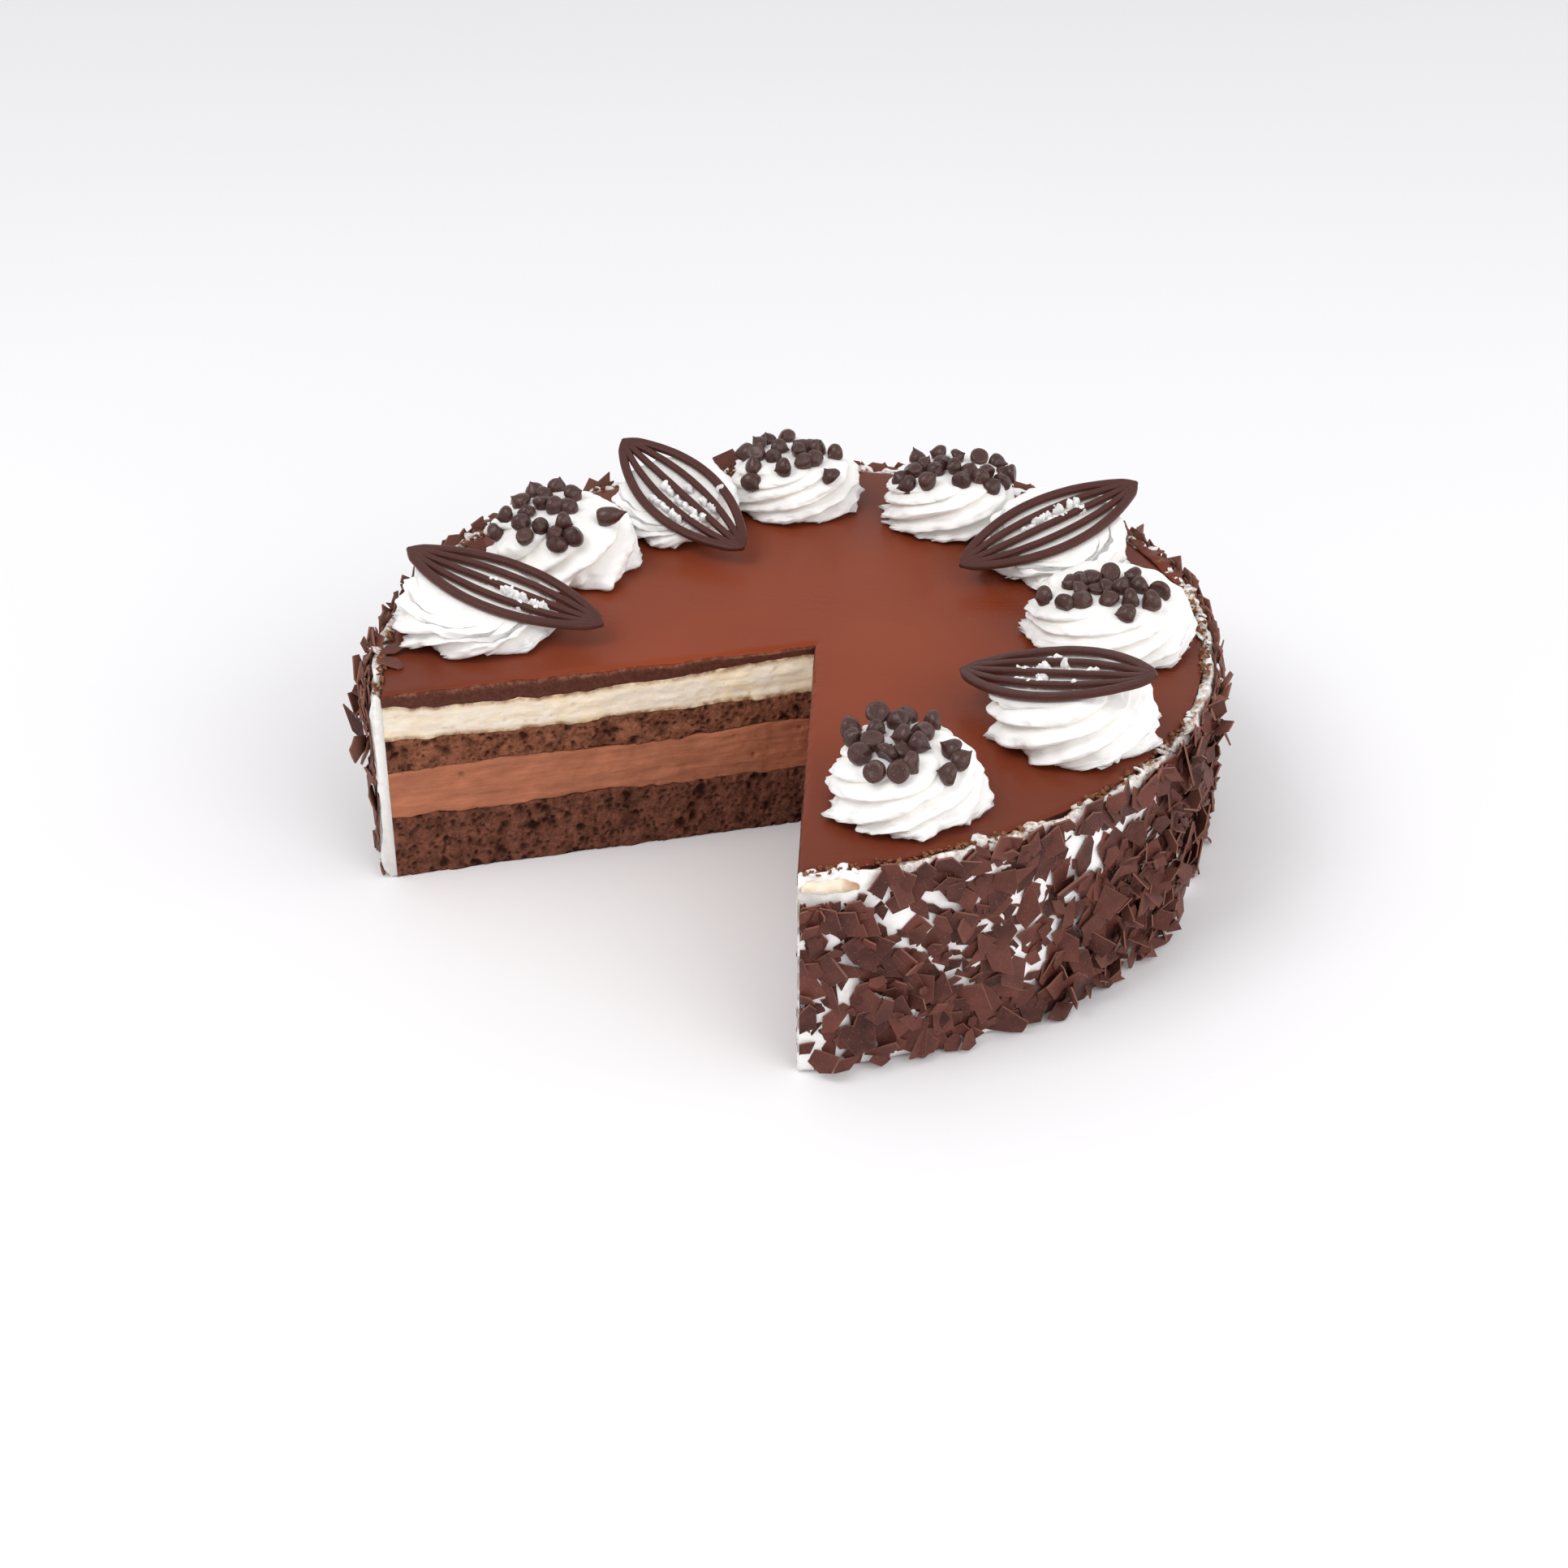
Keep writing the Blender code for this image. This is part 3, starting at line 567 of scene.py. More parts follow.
# %% Cut through the mousse
def mousse_relief(wall, rise, along):
    """Long shallow smears that climb along the cut, and a few bubbles."""
    slanted = wall * (0.16, 0.16, 1.0) + (0, 0, 1) * (0.10 * along[None, :, None])
    bubbles = pores(wall, 0.0048, 0.0012, 0.30, 13)
    push = 0.00035 * hills(slanted, 0.0025, 3, 15) + 0.0003 * hills(wall, 0.004, 4, 17)
    edge = np.clip(1 - np.minimum(rise, 1 - rise) / 0.05, 0, 1)
    return push - 0.0007 * np.sqrt(bubbles) - 0.0002 * edge, bubbles


mousse_skin = slab(1, 0.00055, 28, mousse_relief)
stand_in("cut_mousse", [mousse_skin], mousse_brown, "mousse", "chocolate_mousse")

# %% [markdown]
# The cream layer is firmer. Its streaks are level, its pores are fine, and it bulges a little
# between the layers that press on it.

# %% Cut through the vanilla cream
def cream_relief(wall, rise, along):
    """Level smears with fine pores; the cream bulges a little between its neighbours."""
    level_smears = wall * (0.2, 0.2, 1.0)
    holes = pores(wall, 0.0030, 0.0009, 0.35, 23)
    push = 0.00035 * hills(level_smears, 0.0022, 3, 25) + 0.0003 * np.sin(np.pi * rise)
    push = push + 0.00025 * hills(wall, 0.0028, 3, 27)
    return push - 0.0005 * np.sqrt(holes), holes


def cream_marks(rise, face, shares):
    """The edge share grows from the middle of the layer to its two sides."""
    wall = np.abs(2 * rise - 1) * np.ones_like(face)
    blank = np.ones((len(shares), len(face)))
    return {"edge": np.concatenate((blank, wall, blank))}


cream_skin = slab(3, 0.0005, 26, cream_relief, marks=cream_marks)
stand_in("cut_cream", [cream_skin], ivory, "filling", "vanilla_cream")

# %% [markdown]
# The glaze is the one layer whose top shows. Its rings lie close together near the edge, where
# the surface rolls over into the lip, and further apart inside. The height of its top depends
# only on the place: slow waves, less a roll that begins two millimetres from the nearest edge.

# %% Pour the glaze
def edge_distance(place):
    """Shortest way from a place on top to either cut or to the rim."""
    away = place - APEX
    length = np.hypot(away[..., 0], away[..., 1])
    x, y = place[..., 0], place[..., 1]
    nearest = rim_radius(np.arctan2(y, x)) - np.hypot(x, y)
    for cut in (RIGHT_CUT, LEFT_CUT):
        ahead = away @ heading(cut) > 0
        aside = np.abs(away @ heading(cut + math.pi / 2))
        nearest = np.minimum(nearest, np.where(ahead, aside, length))
    return np.maximum(nearest, 0)


def glaze_top(place):
    """Flat, with waves 40 mm wide, and rolled down at the edges by up to 0.8 mm."""
    flat = lifted(place, 0.0)
    waves = 0.00025 * hills(flat, 0.040, 2, 51)
    near = np.clip(1 - edge_distance(place) / 0.0020, 0, 1)
    uneven = 1 + 0.7 * hills(flat, 0.005, 2, 57)
    return GLAZE_TOP + waves - 0.0008 * near ** 2 * uneven


def glaze_relief(wall, rise, along):
    """The cut band: torn below, bulging in the middle, rolled back at the lip."""
    torn = 0.0002 * hills(wall * (0.3, 0.3, 1.0), 0.003, 3, 61)
    roll = np.clip((rise - 0.6) / 0.4, 0, 1) ** 2
    edge = lifted(wall[..., :2], 0.0)
    ragged = np.where(along == far_left, 0.0009 * hills(edge, 0.006, 4, 63) - 0.0006, 0.0)
    return torn + ragged + 0.0003 - 0.0008 * roll, np.zeros_like(wall[..., 0])


def glaze_marks(rise, face, shares):
    """Where the band is cut, and where its lip catches the light."""
    blank = np.zeros((len(shares), len(face)))
    cut = (1 - rise ** 6) * np.ones_like(face)
    lip = np.clip(1 - np.abs(rise - 0.9) / 0.2, 0, 1) * face
    fall = np.array([0.7, 0.4, 0.15] + [0.0] * (len(shares) - 3))[:, None] * face
    return {"cut": np.concatenate((blank + 1, cut, blank)), "lip": np.concatenate((blank, lip, fall))}


GLAZE_SHARES = (0.998, 0.995, 0.99, 0.983, 0.972, 0.955, 0.93, 0.89, 0.84, 0.77, 0.69,
                0.6, 0.5, 0.4, 0.3, 0.2, 0.1)
glaze_skin = slab(4, 0.0006, 14, glaze_relief, GLAZE_SHARES, glaze_top, glaze_marks)
stand_in("poured_glaze", [glaze_skin], glaze_brown, "glaze", "chocolate_glaze")

# %% [markdown]
# Whipped cream is white, soft and slightly see-through, so its creases stay bright. Subsurface
# scattering gives that. A painted yellowish-grey shade in the hollows keeps it from looking like
# plaster. The same finish serves the coat and the rosettes.

# %% Finish for the whipped cream
def whipped_finish():
    """White cream: faint warm clouds, painted shade in the creases, small pits, soft light."""
    cream = Finish("whipped_cream", Roughness=0.5, Specular_IOR_Level=0.3, Subsurface_Weight=0.35,
                   Subsurface_Scale=0.004, Subsurface_Radius=(1.0, 0.95, 0.9))
    clouds = cream.noise(0.009, 3, 0.6).between(0.45, 0.75)
    colour = cream.mix(clouds * 0.5, (0.93, 0.915, 0.895), (0.90, 0.88, 0.84))
    # Painted shade: creases and dents turn a yellowish grey.
    crease = cream.mark("hollow")
    colour = cream.mix(crease * 0.5, colour, (0.84, 0.80, 0.71))
    soil = cream.mark("dirt") * cream.noise(0.0022, 3, 0.7).between(0.40, 0.60)
    blotches = cream.noise(0.0013, 2, 0.6).between(0.4, 0.6)
    brown = cream.mix(blotches, (0.20, 0.085, 0.045), (0.50, 0.31, 0.19))
    colour = cream.mix(soil, colour, brown)
    fine = cream.noise(0.0016, 4, 0.65) * 0.7 + cream.noise(0.0005, 2, 0.6) * 0.3
    cream.bump(fine, 0.00035, 0.6)
    return cream.paint(Base_Color=colour)


whipped = whipped_finish()

# %% [markdown]
# The cream on the side is spread with a knife, about three millimetres thick. It is a band: the
# rings are its cross-sections, lined up along the rim from one cut to the other, and its two end
# faces close it. The outside is pushed in and out by hills.

# %% Spread cream round the side
def coat_band():
    """Cross-sections of the coat: up the outside, over the top and down the inside."""
    turn = np.linspace(RIGHT_CUT, LEFT_CUT, 560)
    rise = np.linspace(0, 1, 56)
    outer = rise * (COAT_TOP - COAT_FOOT) + COAT_FOOT
    z = np.concatenate((outer, [COAT_TOP, COAT_TOP - 0.001, COAT_FOOT, COAT_FOOT]))
    round_off = 0.0010 * (np.clip(1 - rise / 0.04, 0, 1) + np.clip(1 - (1 - rise) / 0.04, 0, 1))
    out = GAP + np.concatenate((COAT_THICKNESS - round_off, [0.0015, -0.00025, -0.00025, 0.0015]))
    outward = heading(turn)[:, None]
    grid = lifted(APEX + (rim_distance(turn)[:, None] + out)[..., None] * outward, z)
    outside = np.concatenate((np.ones_like(rise), [0.5, 0, 0, 0.5]))
    bumps = 0.0009 * hills(grid, 0.011, 3, 71) + 0.0004 * hills(grid, 0.003, 2, 75)
    grid[..., :2] += outward * (bumps * outside)[..., None]
    crest = grid[:, 48:58]
    crest[..., 2] += 0.0008 * hills(crest, 0.005, 3, 79) + 0.0004
    crest[..., :2] += outward * (0.0005 * hills(crest, 0.0035, 2, 81))[..., None]
    grid[..., 2] = np.maximum(grid[..., 2], 0.0003)
    low, high = grid[0].mean(0), grid[-1].mean(0)
    soiled = np.interp(np.arange(len(z)), (49, 54, 56, 59), (0, 0.5, 1, 1)) * np.ones((len(turn), 1))
    soiled = soiled * np.clip(0.9 + 1.3 * hills(grid, 0.016, 2, 213), 0, 1)
    soiled[:2] = soiled[-2:] = 0
    spots = 0.45 * np.clip(hills(grid, 0.006, 3, 82) - 0.35, 0, 1)
    # Dents in the outside get painted shade in the cream's finish.
    return skin(grid, low, high, hollow=np.clip(-bumps / 0.001, 0, 1), dirt=np.maximum(soiled, spots))


stand_in("spread_cream", [coat_band()], whipped, "whipped_cream", "side_coat")

# %% [markdown]
# Dark chocolate shows three ways: flakes broken from a thin sheet, cast drops and cast leaves.
# All are satin and nearly black-brown. The edges of flakes and leaves get a redder, paler painted
# highlight, and rubbing leaves a dusty bloom. The edge share is stored with the points.

# %% Finish for dark chocolate
def chocolate_finish(name, dark, light, edge_colour, dust, roughness, shine):
    """Dark chocolate: two browns in slow clouds, a paler edge that is a painted highlight on flakes and
    leaves, and speckles of dust.
    """
    brown = Finish(name, Specular_IOR_Level=shine)
    clouds = brown.noise(0.007, 3, 0.6).between(0.3, 0.7)
    colour = brown.mix(clouds * 0.4 + brown.mark("tone") * 0.6, dark, light)
    speckle = brown.noise(0.0006, 2, 0.7).between(0.60, 0.74) * dust
    colour = brown.mix(speckle, colour, (0.25, 0.16, 0.13))
    # Painted highlight along the edges of flakes and leaves; on the drops it lightens the rim of the foot.
    colour = brown.mix(brown.mark("edge").between(0.35, 1.0) * 0.7, colour, edge_colour)
    brown.bump(brown.noise(0.0012, 4, 0.65), 0.0003, 0.6)
    return brown.paint(Base_Color=colour, Roughness=roughness + speckle * 0.3)


flake_brown = chocolate_finish("flake_chocolate", (0.029, 0.0083, 0.0060), (0.165, 0.050, 0.036),
                               (0.25, 0.11, 0.078), dust=0.4, roughness=0.46, shine=0.18)
drop_brown = chocolate_finish("drop_chocolate", (0.046, 0.018, 0.015), (0.074, 0.031, 0.026),
                              (0.085, 0.038, 0.030), dust=0.45, roughness=0.23, shine=0.36)
leaf_brown = chocolate_finish("leaf_chocolate", (0.064, 0.021, 0.017), (0.096, 0.033, 0.027),
                              (0.22, 0.075, 0.042), dust=0.15, roughness=0.36, shine=0.18)

# %% [markdown]
# Flakes are shards with four to six corners, thin and slightly bent, pressed into the cream at
# all angles. The large ones repeat the solids' own random numbers, so they lie where their
# solids are, and smaller ones fill in between. Every flake has the same 12 points round its
# edge, so all of them can be turned and placed at once as one array.

# %% Shape the shards
SHARD_RINGS = ((1.0, -1), (0.985, 1), (0.945, 1))
# Painted highlight on a flake's rim, fading over a thin band of its top.
LIT_EDGE = np.array([1.0, 1.0, 0.0])[None, :, None]
TONGUE_ANGLE = 0.12
TONGUE_FOOT = 0.0545


def shard_outline(corners):
    """Twelve points round a shard: its corners, with equal steps between them."""
    corners = np.array(corners)
    if len(corners) == 5:
        sides = np.roll(corners, -1, axis=0) - corners
        longest = int(np.argmax(np.hypot(*sides.T)))
        corners = np.insert(corners, longest + 1, corners[longest] + sides[longest] / 2, axis=0)
    steps = np.arange(12) * len(corners) / 12
    first = np.floor(steps).astype(int)
    part = (steps - first)[:, None]
    return corners[first] * (1 - part) + corners[(first + 1) % len(corners)] * part


def shard_corners(draw, size, counts=(4, 6), slim=0.6):
    """Corners at uneven steps round an oval."""
    count = int(draw.integers(*counts))
    turns = (np.arange(count) + draw.uniform(-0.3, 0.3, count)) * 2 * math.pi / count
    reach = 0.5 * size * draw.uniform(0.72, 1.0, count)
    narrow = draw.uniform(slim, 1.0)
    return [(r * math.cos(t), narrow * r * math.sin(t)) for r, t in zip(reach, turns)]


def large_shards():
    """The flakes that the solids hold: direction, height, size, tilt, lean, spin, outline."""
    draw = np.random.default_rng(11)
    for row in range(5):
        for column in range(29):
            along = (column + 0.5 + 0.5 * (row % 2) + draw.uniform(-0.3, 0.3)) / 29.5
            height = COAT_TOP * (row + 0.5 + draw.uniform(-0.28, 0.28)) / 5
            size = draw.uniform(0.0110, 0.0160)
            corners = shard_corners(draw, size)
            tilt = draw.uniform(math.radians(8), math.radians(38))
            lean, spin = draw.uniform(0, 2 * math.pi, 2)
            angle = RIGHT_CUT + (LEFT_CUT - RIGHT_CUT) * along
            if (row + 3 * column) % 10 != 1:
                yield angle, height, size, tilt, lean, spin, 0.0002, shard_outline(corners)


def small_shards(columns, rows, sizes, tilts, overs, seed, piled=None, lowest=0.0015, above=0.0008):
    """Flakes near the corners of a grid on the coat; a piled layer keeps only those on its heaps."""
    draw = np.random.default_rng(seed)
    for row in range(rows):
        for column in range(columns):
            across, rise = draw.uniform(0.0, 1.0, 2)
            angle = RIGHT_CUT + (LEFT_CUT - RIGHT_CUT) * (column + across) / columns
            size = sizes[0] + (sizes[1] - sizes[0]) * draw.uniform() ** 1.6
            height = lowest + (0.0605 - lowest) * (row + rise) / rows
            by_tongue = angle < RIGHT_CUT + TONGUE_ANGLE
            highest = TONGUE_FOOT - 0.001 if by_tongue else COAT_TOP + above + 0.6 * overs[1]
            height = min(height, highest - 0.40 * size)
            tilt = math.radians(draw.uniform(*tilts))
            lean, spin = draw.uniform(0, 2 * math.pi, 2)
            over = draw.uniform(*overs)
            corners = shard_corners(draw, size, slim=0.4)
            place = (*(CAKE_RADIUS * heading(angle)), height)
            if piled and hills(np.array([place]), 0.030, 2, 93)[0] < piled:
                continue
            yield angle, height, size, tilt, lean, spin, over, shard_outline(corners)


def turning(axis, angle):
    """Rotations about unit axes: identity, plus sine times cross, plus (1 - cosine) cross squared."""
    x, y, z = np.moveaxis(axis, -1, 0)
    none = np.zeros_like(x)
    cross = np.stack((none, -z, y, z, none, -x, -y, x, none), -1).reshape(*x.shape, 3, 3)
    sine, cosine = np.sin(angle)[:, None, None], np.cos(angle)[:, None, None]
    return np.eye(3) + sine * cross + (1 - cosine) * (cross @ cross)


def turn_to(axis):
    """Rotations that carry the Z axis to some unit vectors, each about a level axis."""
    side = unit(np.cross((0, 0, 1), axis))
    return turning(side, np.arccos(np.clip(axis[:, 2], -1, 1)))


def set_copies(turned, grid, ends, middle):
    """Turn every copy and its two poles, and move them to the copy's place."""
    grid = np.einsum("nij,nrcj->nrci", turned, grid) + middle[:, None, None]
    return grid, *(np.einsum("nij,nj->ni", turned, end) + middle for end in ends)


def keep_on_coat(points, margin=0.0006):
    """Move points off the layers, off the floor and out of the open wedge."""
    away = points[..., :2] - APEX
    angle = np.arctan2(away[..., 1], away[..., 0])
    angle = np.where(angle < (RIGHT_CUT + LEFT_CUT) / 2 - math.pi, angle + 2 * math.pi, angle)
    far = np.hypot(away[..., 0], away[..., 1])
    angle = np.clip(angle, RIGHT_CUT + margin / far, LEFT_CUT - margin / far)
    far = np.maximum(far, rim_distance(angle) + GAP + 0.0007)
    return lifted(from_apex(angle, far), np.maximum(points[..., 2], 0.0007))


def lay_shards(shards, thickness):
    """Shards with a bevelled edge and a slight bend, leaned out of the coat's wall."""
    angle, height, size, tilt, lean, spin, over, edge = (np.array(v) for v in zip(*shards))
    count = len(angle)
    none = np.zeros(count)
    side = np.stack((-np.sin(angle), np.cos(angle), none), -1)
    out = lifted(heading(angle), 0.0)
    up = np.stack((none, none, none + 1), -1)
    wall = np.stack((side, up, out), -1)
    axis = side * np.cos(lean)[:, None] + up * np.sin(lean)[:, None]
    spun = turning(up, spin)
    turned = turning(axis, tilt) @ wall @ spun
    flat = np.stack([edge * share for share, _ in SHARD_RINGS], 1)
    bend = np.random.default_rng(5).uniform(-0.10, 0.10, count)[:, None, None]
    lift = bend * flat[..., 0] ** 2 / size[:, None, None]
    half = thickness / 2 * np.array([way for _, way in SHARD_RINGS])[None, :, None]
    local = lifted(flat, lift + half)
    shift = GAP + COAT_THICKNESS + over + 0.24 * size * np.sin(tilt)
    middle = lifted(from_apex(angle, rim_distance(angle) + shift), height)
    tip = thickness / 2 * up
    return [keep_on_coat(points) for points in set_copies(turned, local, (-tip, tip), middle)]


print("each flake has", len(SHARD_RINGS), "rings of 12 points")

# %% [markdown]
# Flakes are thrown at the soft cream and pressed home. A first layer lies nearly flat, a second
# leans out, and a third and a fourth pile up where slow hills are high. No flake may run into a
# rosette or hide the tongue of cream at the front corner, so the rosettes' places come first.

# %% Press the shards into the cream
# Direction in degrees, distance from the axis, radius, height, twist in degrees, crease depth
ROSETTES = (
    (-71.3, 0.0925, 0.0202, 0.0172, 140, 0.155),
    (-35.0, 0.0920, 0.0222, 0.0200, 140, 0.175),
    (1.4, 0.0912, 0.0238, 0.0165, 165, 0.110),
    (32.5, 0.0961, 0.0214, 0.0200, 150, 0.150),
    (58.8, 0.0978, 0.0206, 0.0160, 140, 0.155),
    (89.0, 0.0955, 0.0208, 0.0160, 155, 0.150),
    (114.5, 0.0850, 0.0190, 0.0190, 130, 0.150),
    (144.5, 0.0840, 0.0228, 0.0190, 80, 0.250),
    (175.2, 0.0908, 0.0222, 0.0200, 140, 0.160),
)


def clear_of_toppings(grid):
    """True for shards that don't rise beside a rosette and don't cover the tongue's place."""
    away = grid[..., :2] - APEX
    corner = (np.arctan2(away[..., 1], away[..., 0]) - RIGHT_CUT) % (2 * math.pi) < TONGUE_ANGLE
    clear = ~(corner & (grid[..., 2] > TONGUE_FOOT)).any((1, 2))
    for direction, distance, radius, *_ in ROSETTES:
        centre = distance * heading(math.radians(direction))
        near = np.hypot(*np.moveaxis(grid[..., :2] - centre, -1, 0)) < radius * 1.12 + 0.002
        clear &= ~(near & (grid[..., 2] > COAT_TOP - 0.0005)).any((1, 2))
    return clear


def press_in(name, layers):
    """One piece from some layers of shards; each shard has a tone of its own."""
    skins = []
    for shards, thickness in layers:
        grid, low, high = lay_shards(shards, thickness)
        clear = clear_of_toppings(grid)
        tone = np.random.default_rng(len(grid)).uniform(0, 1, int(clear.sum()))[:, None, None]
        skins.append(skin(grid[clear], low[clear], high[clear], edge=LIT_EDGE, tone=tone))
    stand_in(name, skins, flake_brown, "dark_chocolate", "side_coat", smooth=False)


pressed = small_shards(90, 12, (0.0070, 0.0170), (2, 12), (-0.0002, 0.0005), 77)
leaning = small_shards(108, 13, (0.0040, 0.0140), (5, 25), (0.0004, 0.0015), 78, -0.30)
heaped = small_shards(84, 9, (0.0050, 0.0145), (10, 42), (0.0012, 0.0030), 79, 0.18)
topmost = small_shards(75, 2, (0.0065, 0.0130), (4, 28), (0.0004, 0.0020), 80,
                       lowest=0.0560, above=0.0024)
stacked = small_shards(96, 10, (0.0060, 0.0120), (30, 75), (0.0012, 0.0034), 81, 0.42)
press_in("pressed_flakes", [(pressed, 0.0004), (topmost, 0.0005)])
press_in("chocolate_flakes", [(large_shards(), 0.0007), (leaning, 0.0004), (heaped, 0.0005),
                              (stacked, 0.0004)])

# %% [markdown]
# A few flakes missed the side and lie on the glaze or stand at the rim. Each is seen in the
# photograph, so it is placed by its line of sight and turned the way its face looks there.

# %% Drop loose flakes on the rim
# Column, row, level and size, then which way the flake faces: right, up and towards the viewer
LOOSE = ((895, 568, 0.0655, 0.0120, 3, 2, 9), (484, 799, 0.0612, 0.0090, -2, 8, 5),
         (483, 817, 0.0612, 0.0085, 2, 8, 5), (463, 792, 0.0605, 0.0080, -6, 5, 6),
         (517, 714, 0.0625, 0.0085, -3, 4, 8), (588, 672, 0.0620, 0.0080, 3, 5, 8))
LOOSE_HALF = 0.0003


def towards(right, up, near):
    """Directions made of parts to the right, up the picture and towards the viewer."""
    return right[:, None] * RIGHTWARD + up[:, None] * UPWARD - near[:, None] * FORWARD


def loose_flakes():
    """Single shards whose upper faces look along their own directions."""
    column, row, level, size, right, up, near = np.array(LOOSE).T
    draw = np.random.default_rng(63)
    turned = turn_to(unit(towards(right, up, near)))
    edge = np.stack([shard_outline(shard_corners(draw, s)) for s in size])
    grid = np.stack([lifted(edge * share, LOOSE_HALF * way) for share, way in SHARD_RINGS], 1)
    tip = np.broadcast_to((0, 0, LOOSE_HALF), (len(size), 3))
    copies = set_copies(turned, grid, (-tip, tip), seen_at_level(column, row, level))
    tone = draw.uniform(0.3, 1, len(size))[:, None, None]
    return skin(*copies, edge=LIT_EDGE, tone=tone)


stand_in("loose_flakes", [loose_flakes()], flake_brown, "dark_chocolate", "side_coat", smooth=False)

# %% [markdown]
# Four rosettes carry a leaf that was pressed on while the cream was soft, so it flattens them.
# Each leaf's plane comes before the rosettes: two tips and a roll about the line between them,
# the same as in the solids. First and second come the tips, then the roll in degrees.

# %% Leaves that press the rosettes
LEAF_LENGTH = 0.0640
LEAF_WIDTH = 0.0240
LEAF_THICKNESS = 0.0022
RIB_WIDTH = 0.0022
LEAVES = {
    1: ((0.0470, -0.0320, 0.0680), (0.0937, -0.0715, 0.0872), 12.0),
    3: ((0.0510, 0.0350, 0.0665), (0.1060, 0.0650, 0.0797), 12.0),
    6: ((-0.0141, 0.0476, 0.0660), (-0.0525, 0.0970, 0.0800), 19.0),
    8: ((-0.0533, -0.0030, 0.0665), (-0.1109, 0.0225, 0.0780), 7.0),
}


def leaf_plane(leaf):
    """Middle of a leaf and its axes: along it, towards its front edge, and up from its face."""
    inner, outer, roll = np.array(leaf[0]), np.array(leaf[1]), math.radians(leaf[2])
    along = unit(outer - inner)
    level = unit(np.cross(along, (0, 0, 1)))
    if level[1] > 0:
        level, along = -level, -along
    upright = np.cross(along, level)
    across = math.cos(roll) * level - math.sin(roll) * upright * math.copysign(1, upright[2])
    normal = np.cross(along, across)
    if normal[2] < 0:
        along, normal = -along, -normal
    return (inner + outer) / 2, along, across, normal


print("leaves lie on rosettes", [index + 1 for index in LEAVES])

# %% [markdown]
# A rosette is piped through a star-shaped nozzle that turns while it rises. Its pleats therefore
# run round it in slanting bands: each swells slowly, then drops sharply into the next crease.
# The rings here run from the foot to the crown, every point of a ring has a phase within its
# pleat, and the phase slides round with height, which makes the bands slant.

# %% Pipe the rosettes
LOBES = 8


def pleat(phase):
    """Swell across one pleat: a fat arch that leans to one side, with a sharp crease between two."""
    return np.sin(math.pi * phase ** 1.5) ** 0.9


def rosette_centre(index):
    """Where a rosette stands on the glaze."""
    direction, distance = ROSETTES[index][:2]
    return np.array([*(distance * heading(math.radians(direction))), GLAZE_TOP + GAP])


def pipe_rosette(index):
    """Rings from foot to crown of a dome; each column keeps its place in a pleat as it rises."""
    radius, height, twist, crease_depth = ROSETTES[index][2:]
    draw = np.random.default_rng(5 + index)
    start = draw.uniform(0, 2 * math.pi)
    uneven = draw.uniform(-0.04, 0.04, LOBES)
    climb = np.linspace(0, 1, 76)[1:-1, None] * math.pi / 2
    share, rise = np.cos(climb) ** 0.48, np.sin(climb) ** 0.75
    share = share * (1 - 0.09 * np.clip(1 - rise / 0.22, 0, 1) ** 2)
    pleats = np.arange(24 * LOBES) / 24
    phase, lobe = pleats % 1, pleats.astype(int)
    wobble = 0.12 * np.sin(6 * math.pi * pleats / LOBES + 4 * rise + index)
    wobble = wobble + 0.10 * np.sin(4 * math.pi * pleats / LOBES - 7 * rise + 2 * index)
    turn = start + 2 * math.pi * (pleats + wobble) / LOBES + math.radians(1.15 * twist) * rise
    groove = np.stack(np.broadcast_arrays(pleats, 0.8 * rise, float(index)), -1)
    lines = lattice_noise(groove, 0.13, 84)
    swell = pleat(phase) + 0 * climb
    depth = crease_depth * (1 - 0.5 * rise)
    out = radius * share * 1.02 * (1 - depth + depth * swell + uneven[lobe] * (1 - rise) * swell)
    out = out + 0.00045 * lines * (1 - 0.5 * rise)
    z = height * rise - 0.0006 * swell * (1 - rise)
    points = np.stack((out * np.cos(turn), out * np.sin(turn), z), -1)
    low = np.clip(1 - rise / 0.35, 0, 1)
    rough = 0.0011 * hills(points + index, 0.009, 3, 83)
    rough = rough + 0.0008 * hills(points, 0.0028, 2, 85) * swell ** 4
    torn = 0.0055 * np.clip(hills(points + index, 0.0034, 3, 87) - 0.08, 0, 1) * low
    grain = 0.00022 * hills(points + index, 0.0018, 2, 89) * np.clip(low + 0.6 - swell, 0.15, 1)
    outward = np.stack((np.cos(turn), np.sin(turn), 0.15 + 0 * turn), -1)
    points = points + outward * (rough + torn + grain)[..., None]
    points[..., 2] = np.maximum(points[..., 2], 0.0)
    points = points + rosette_centre(index)
    if index in LEAVES:
        middle, _, _, normal = leaf_plane(LEAVES[index])
        middle = middle - normal * (LEAF_THICKNESS / 2 + GAP)
        away = points[..., :2] - middle[:2]
        roof = middle[2] - (away @ normal[:2]) / normal[2]
        height_gap = np.abs(points[..., 2] - roof) / 0.0004
        points[..., 2] = np.minimum(points[..., 2], roof) - 0.0004 * np.log1p(np.exp(-height_gap))
    # Painted shade in the creases between the pleats.
    crease = np.clip(1 - swell * 2.2, 0, 1)
    return skin(points, rosette_centre(index), points[-1].mean(0), hollow=crease[None])


for index in range(len(ROSETTES)):
    name = f"rosette_{index + 1}"
    stand_in(f"piped_{name}", [pipe_rosette(index)], whipped, "whipped_cream", name)

# %% [markdown]
# Chocolate drops fall on five of the rosettes, every way up. A drop is a profile spun round an
# axis: a slightly hollow foot, a round shoulder, and a point that curls to one side. All the
# drops are one array, and each lies at the place and tilt that its solid has.

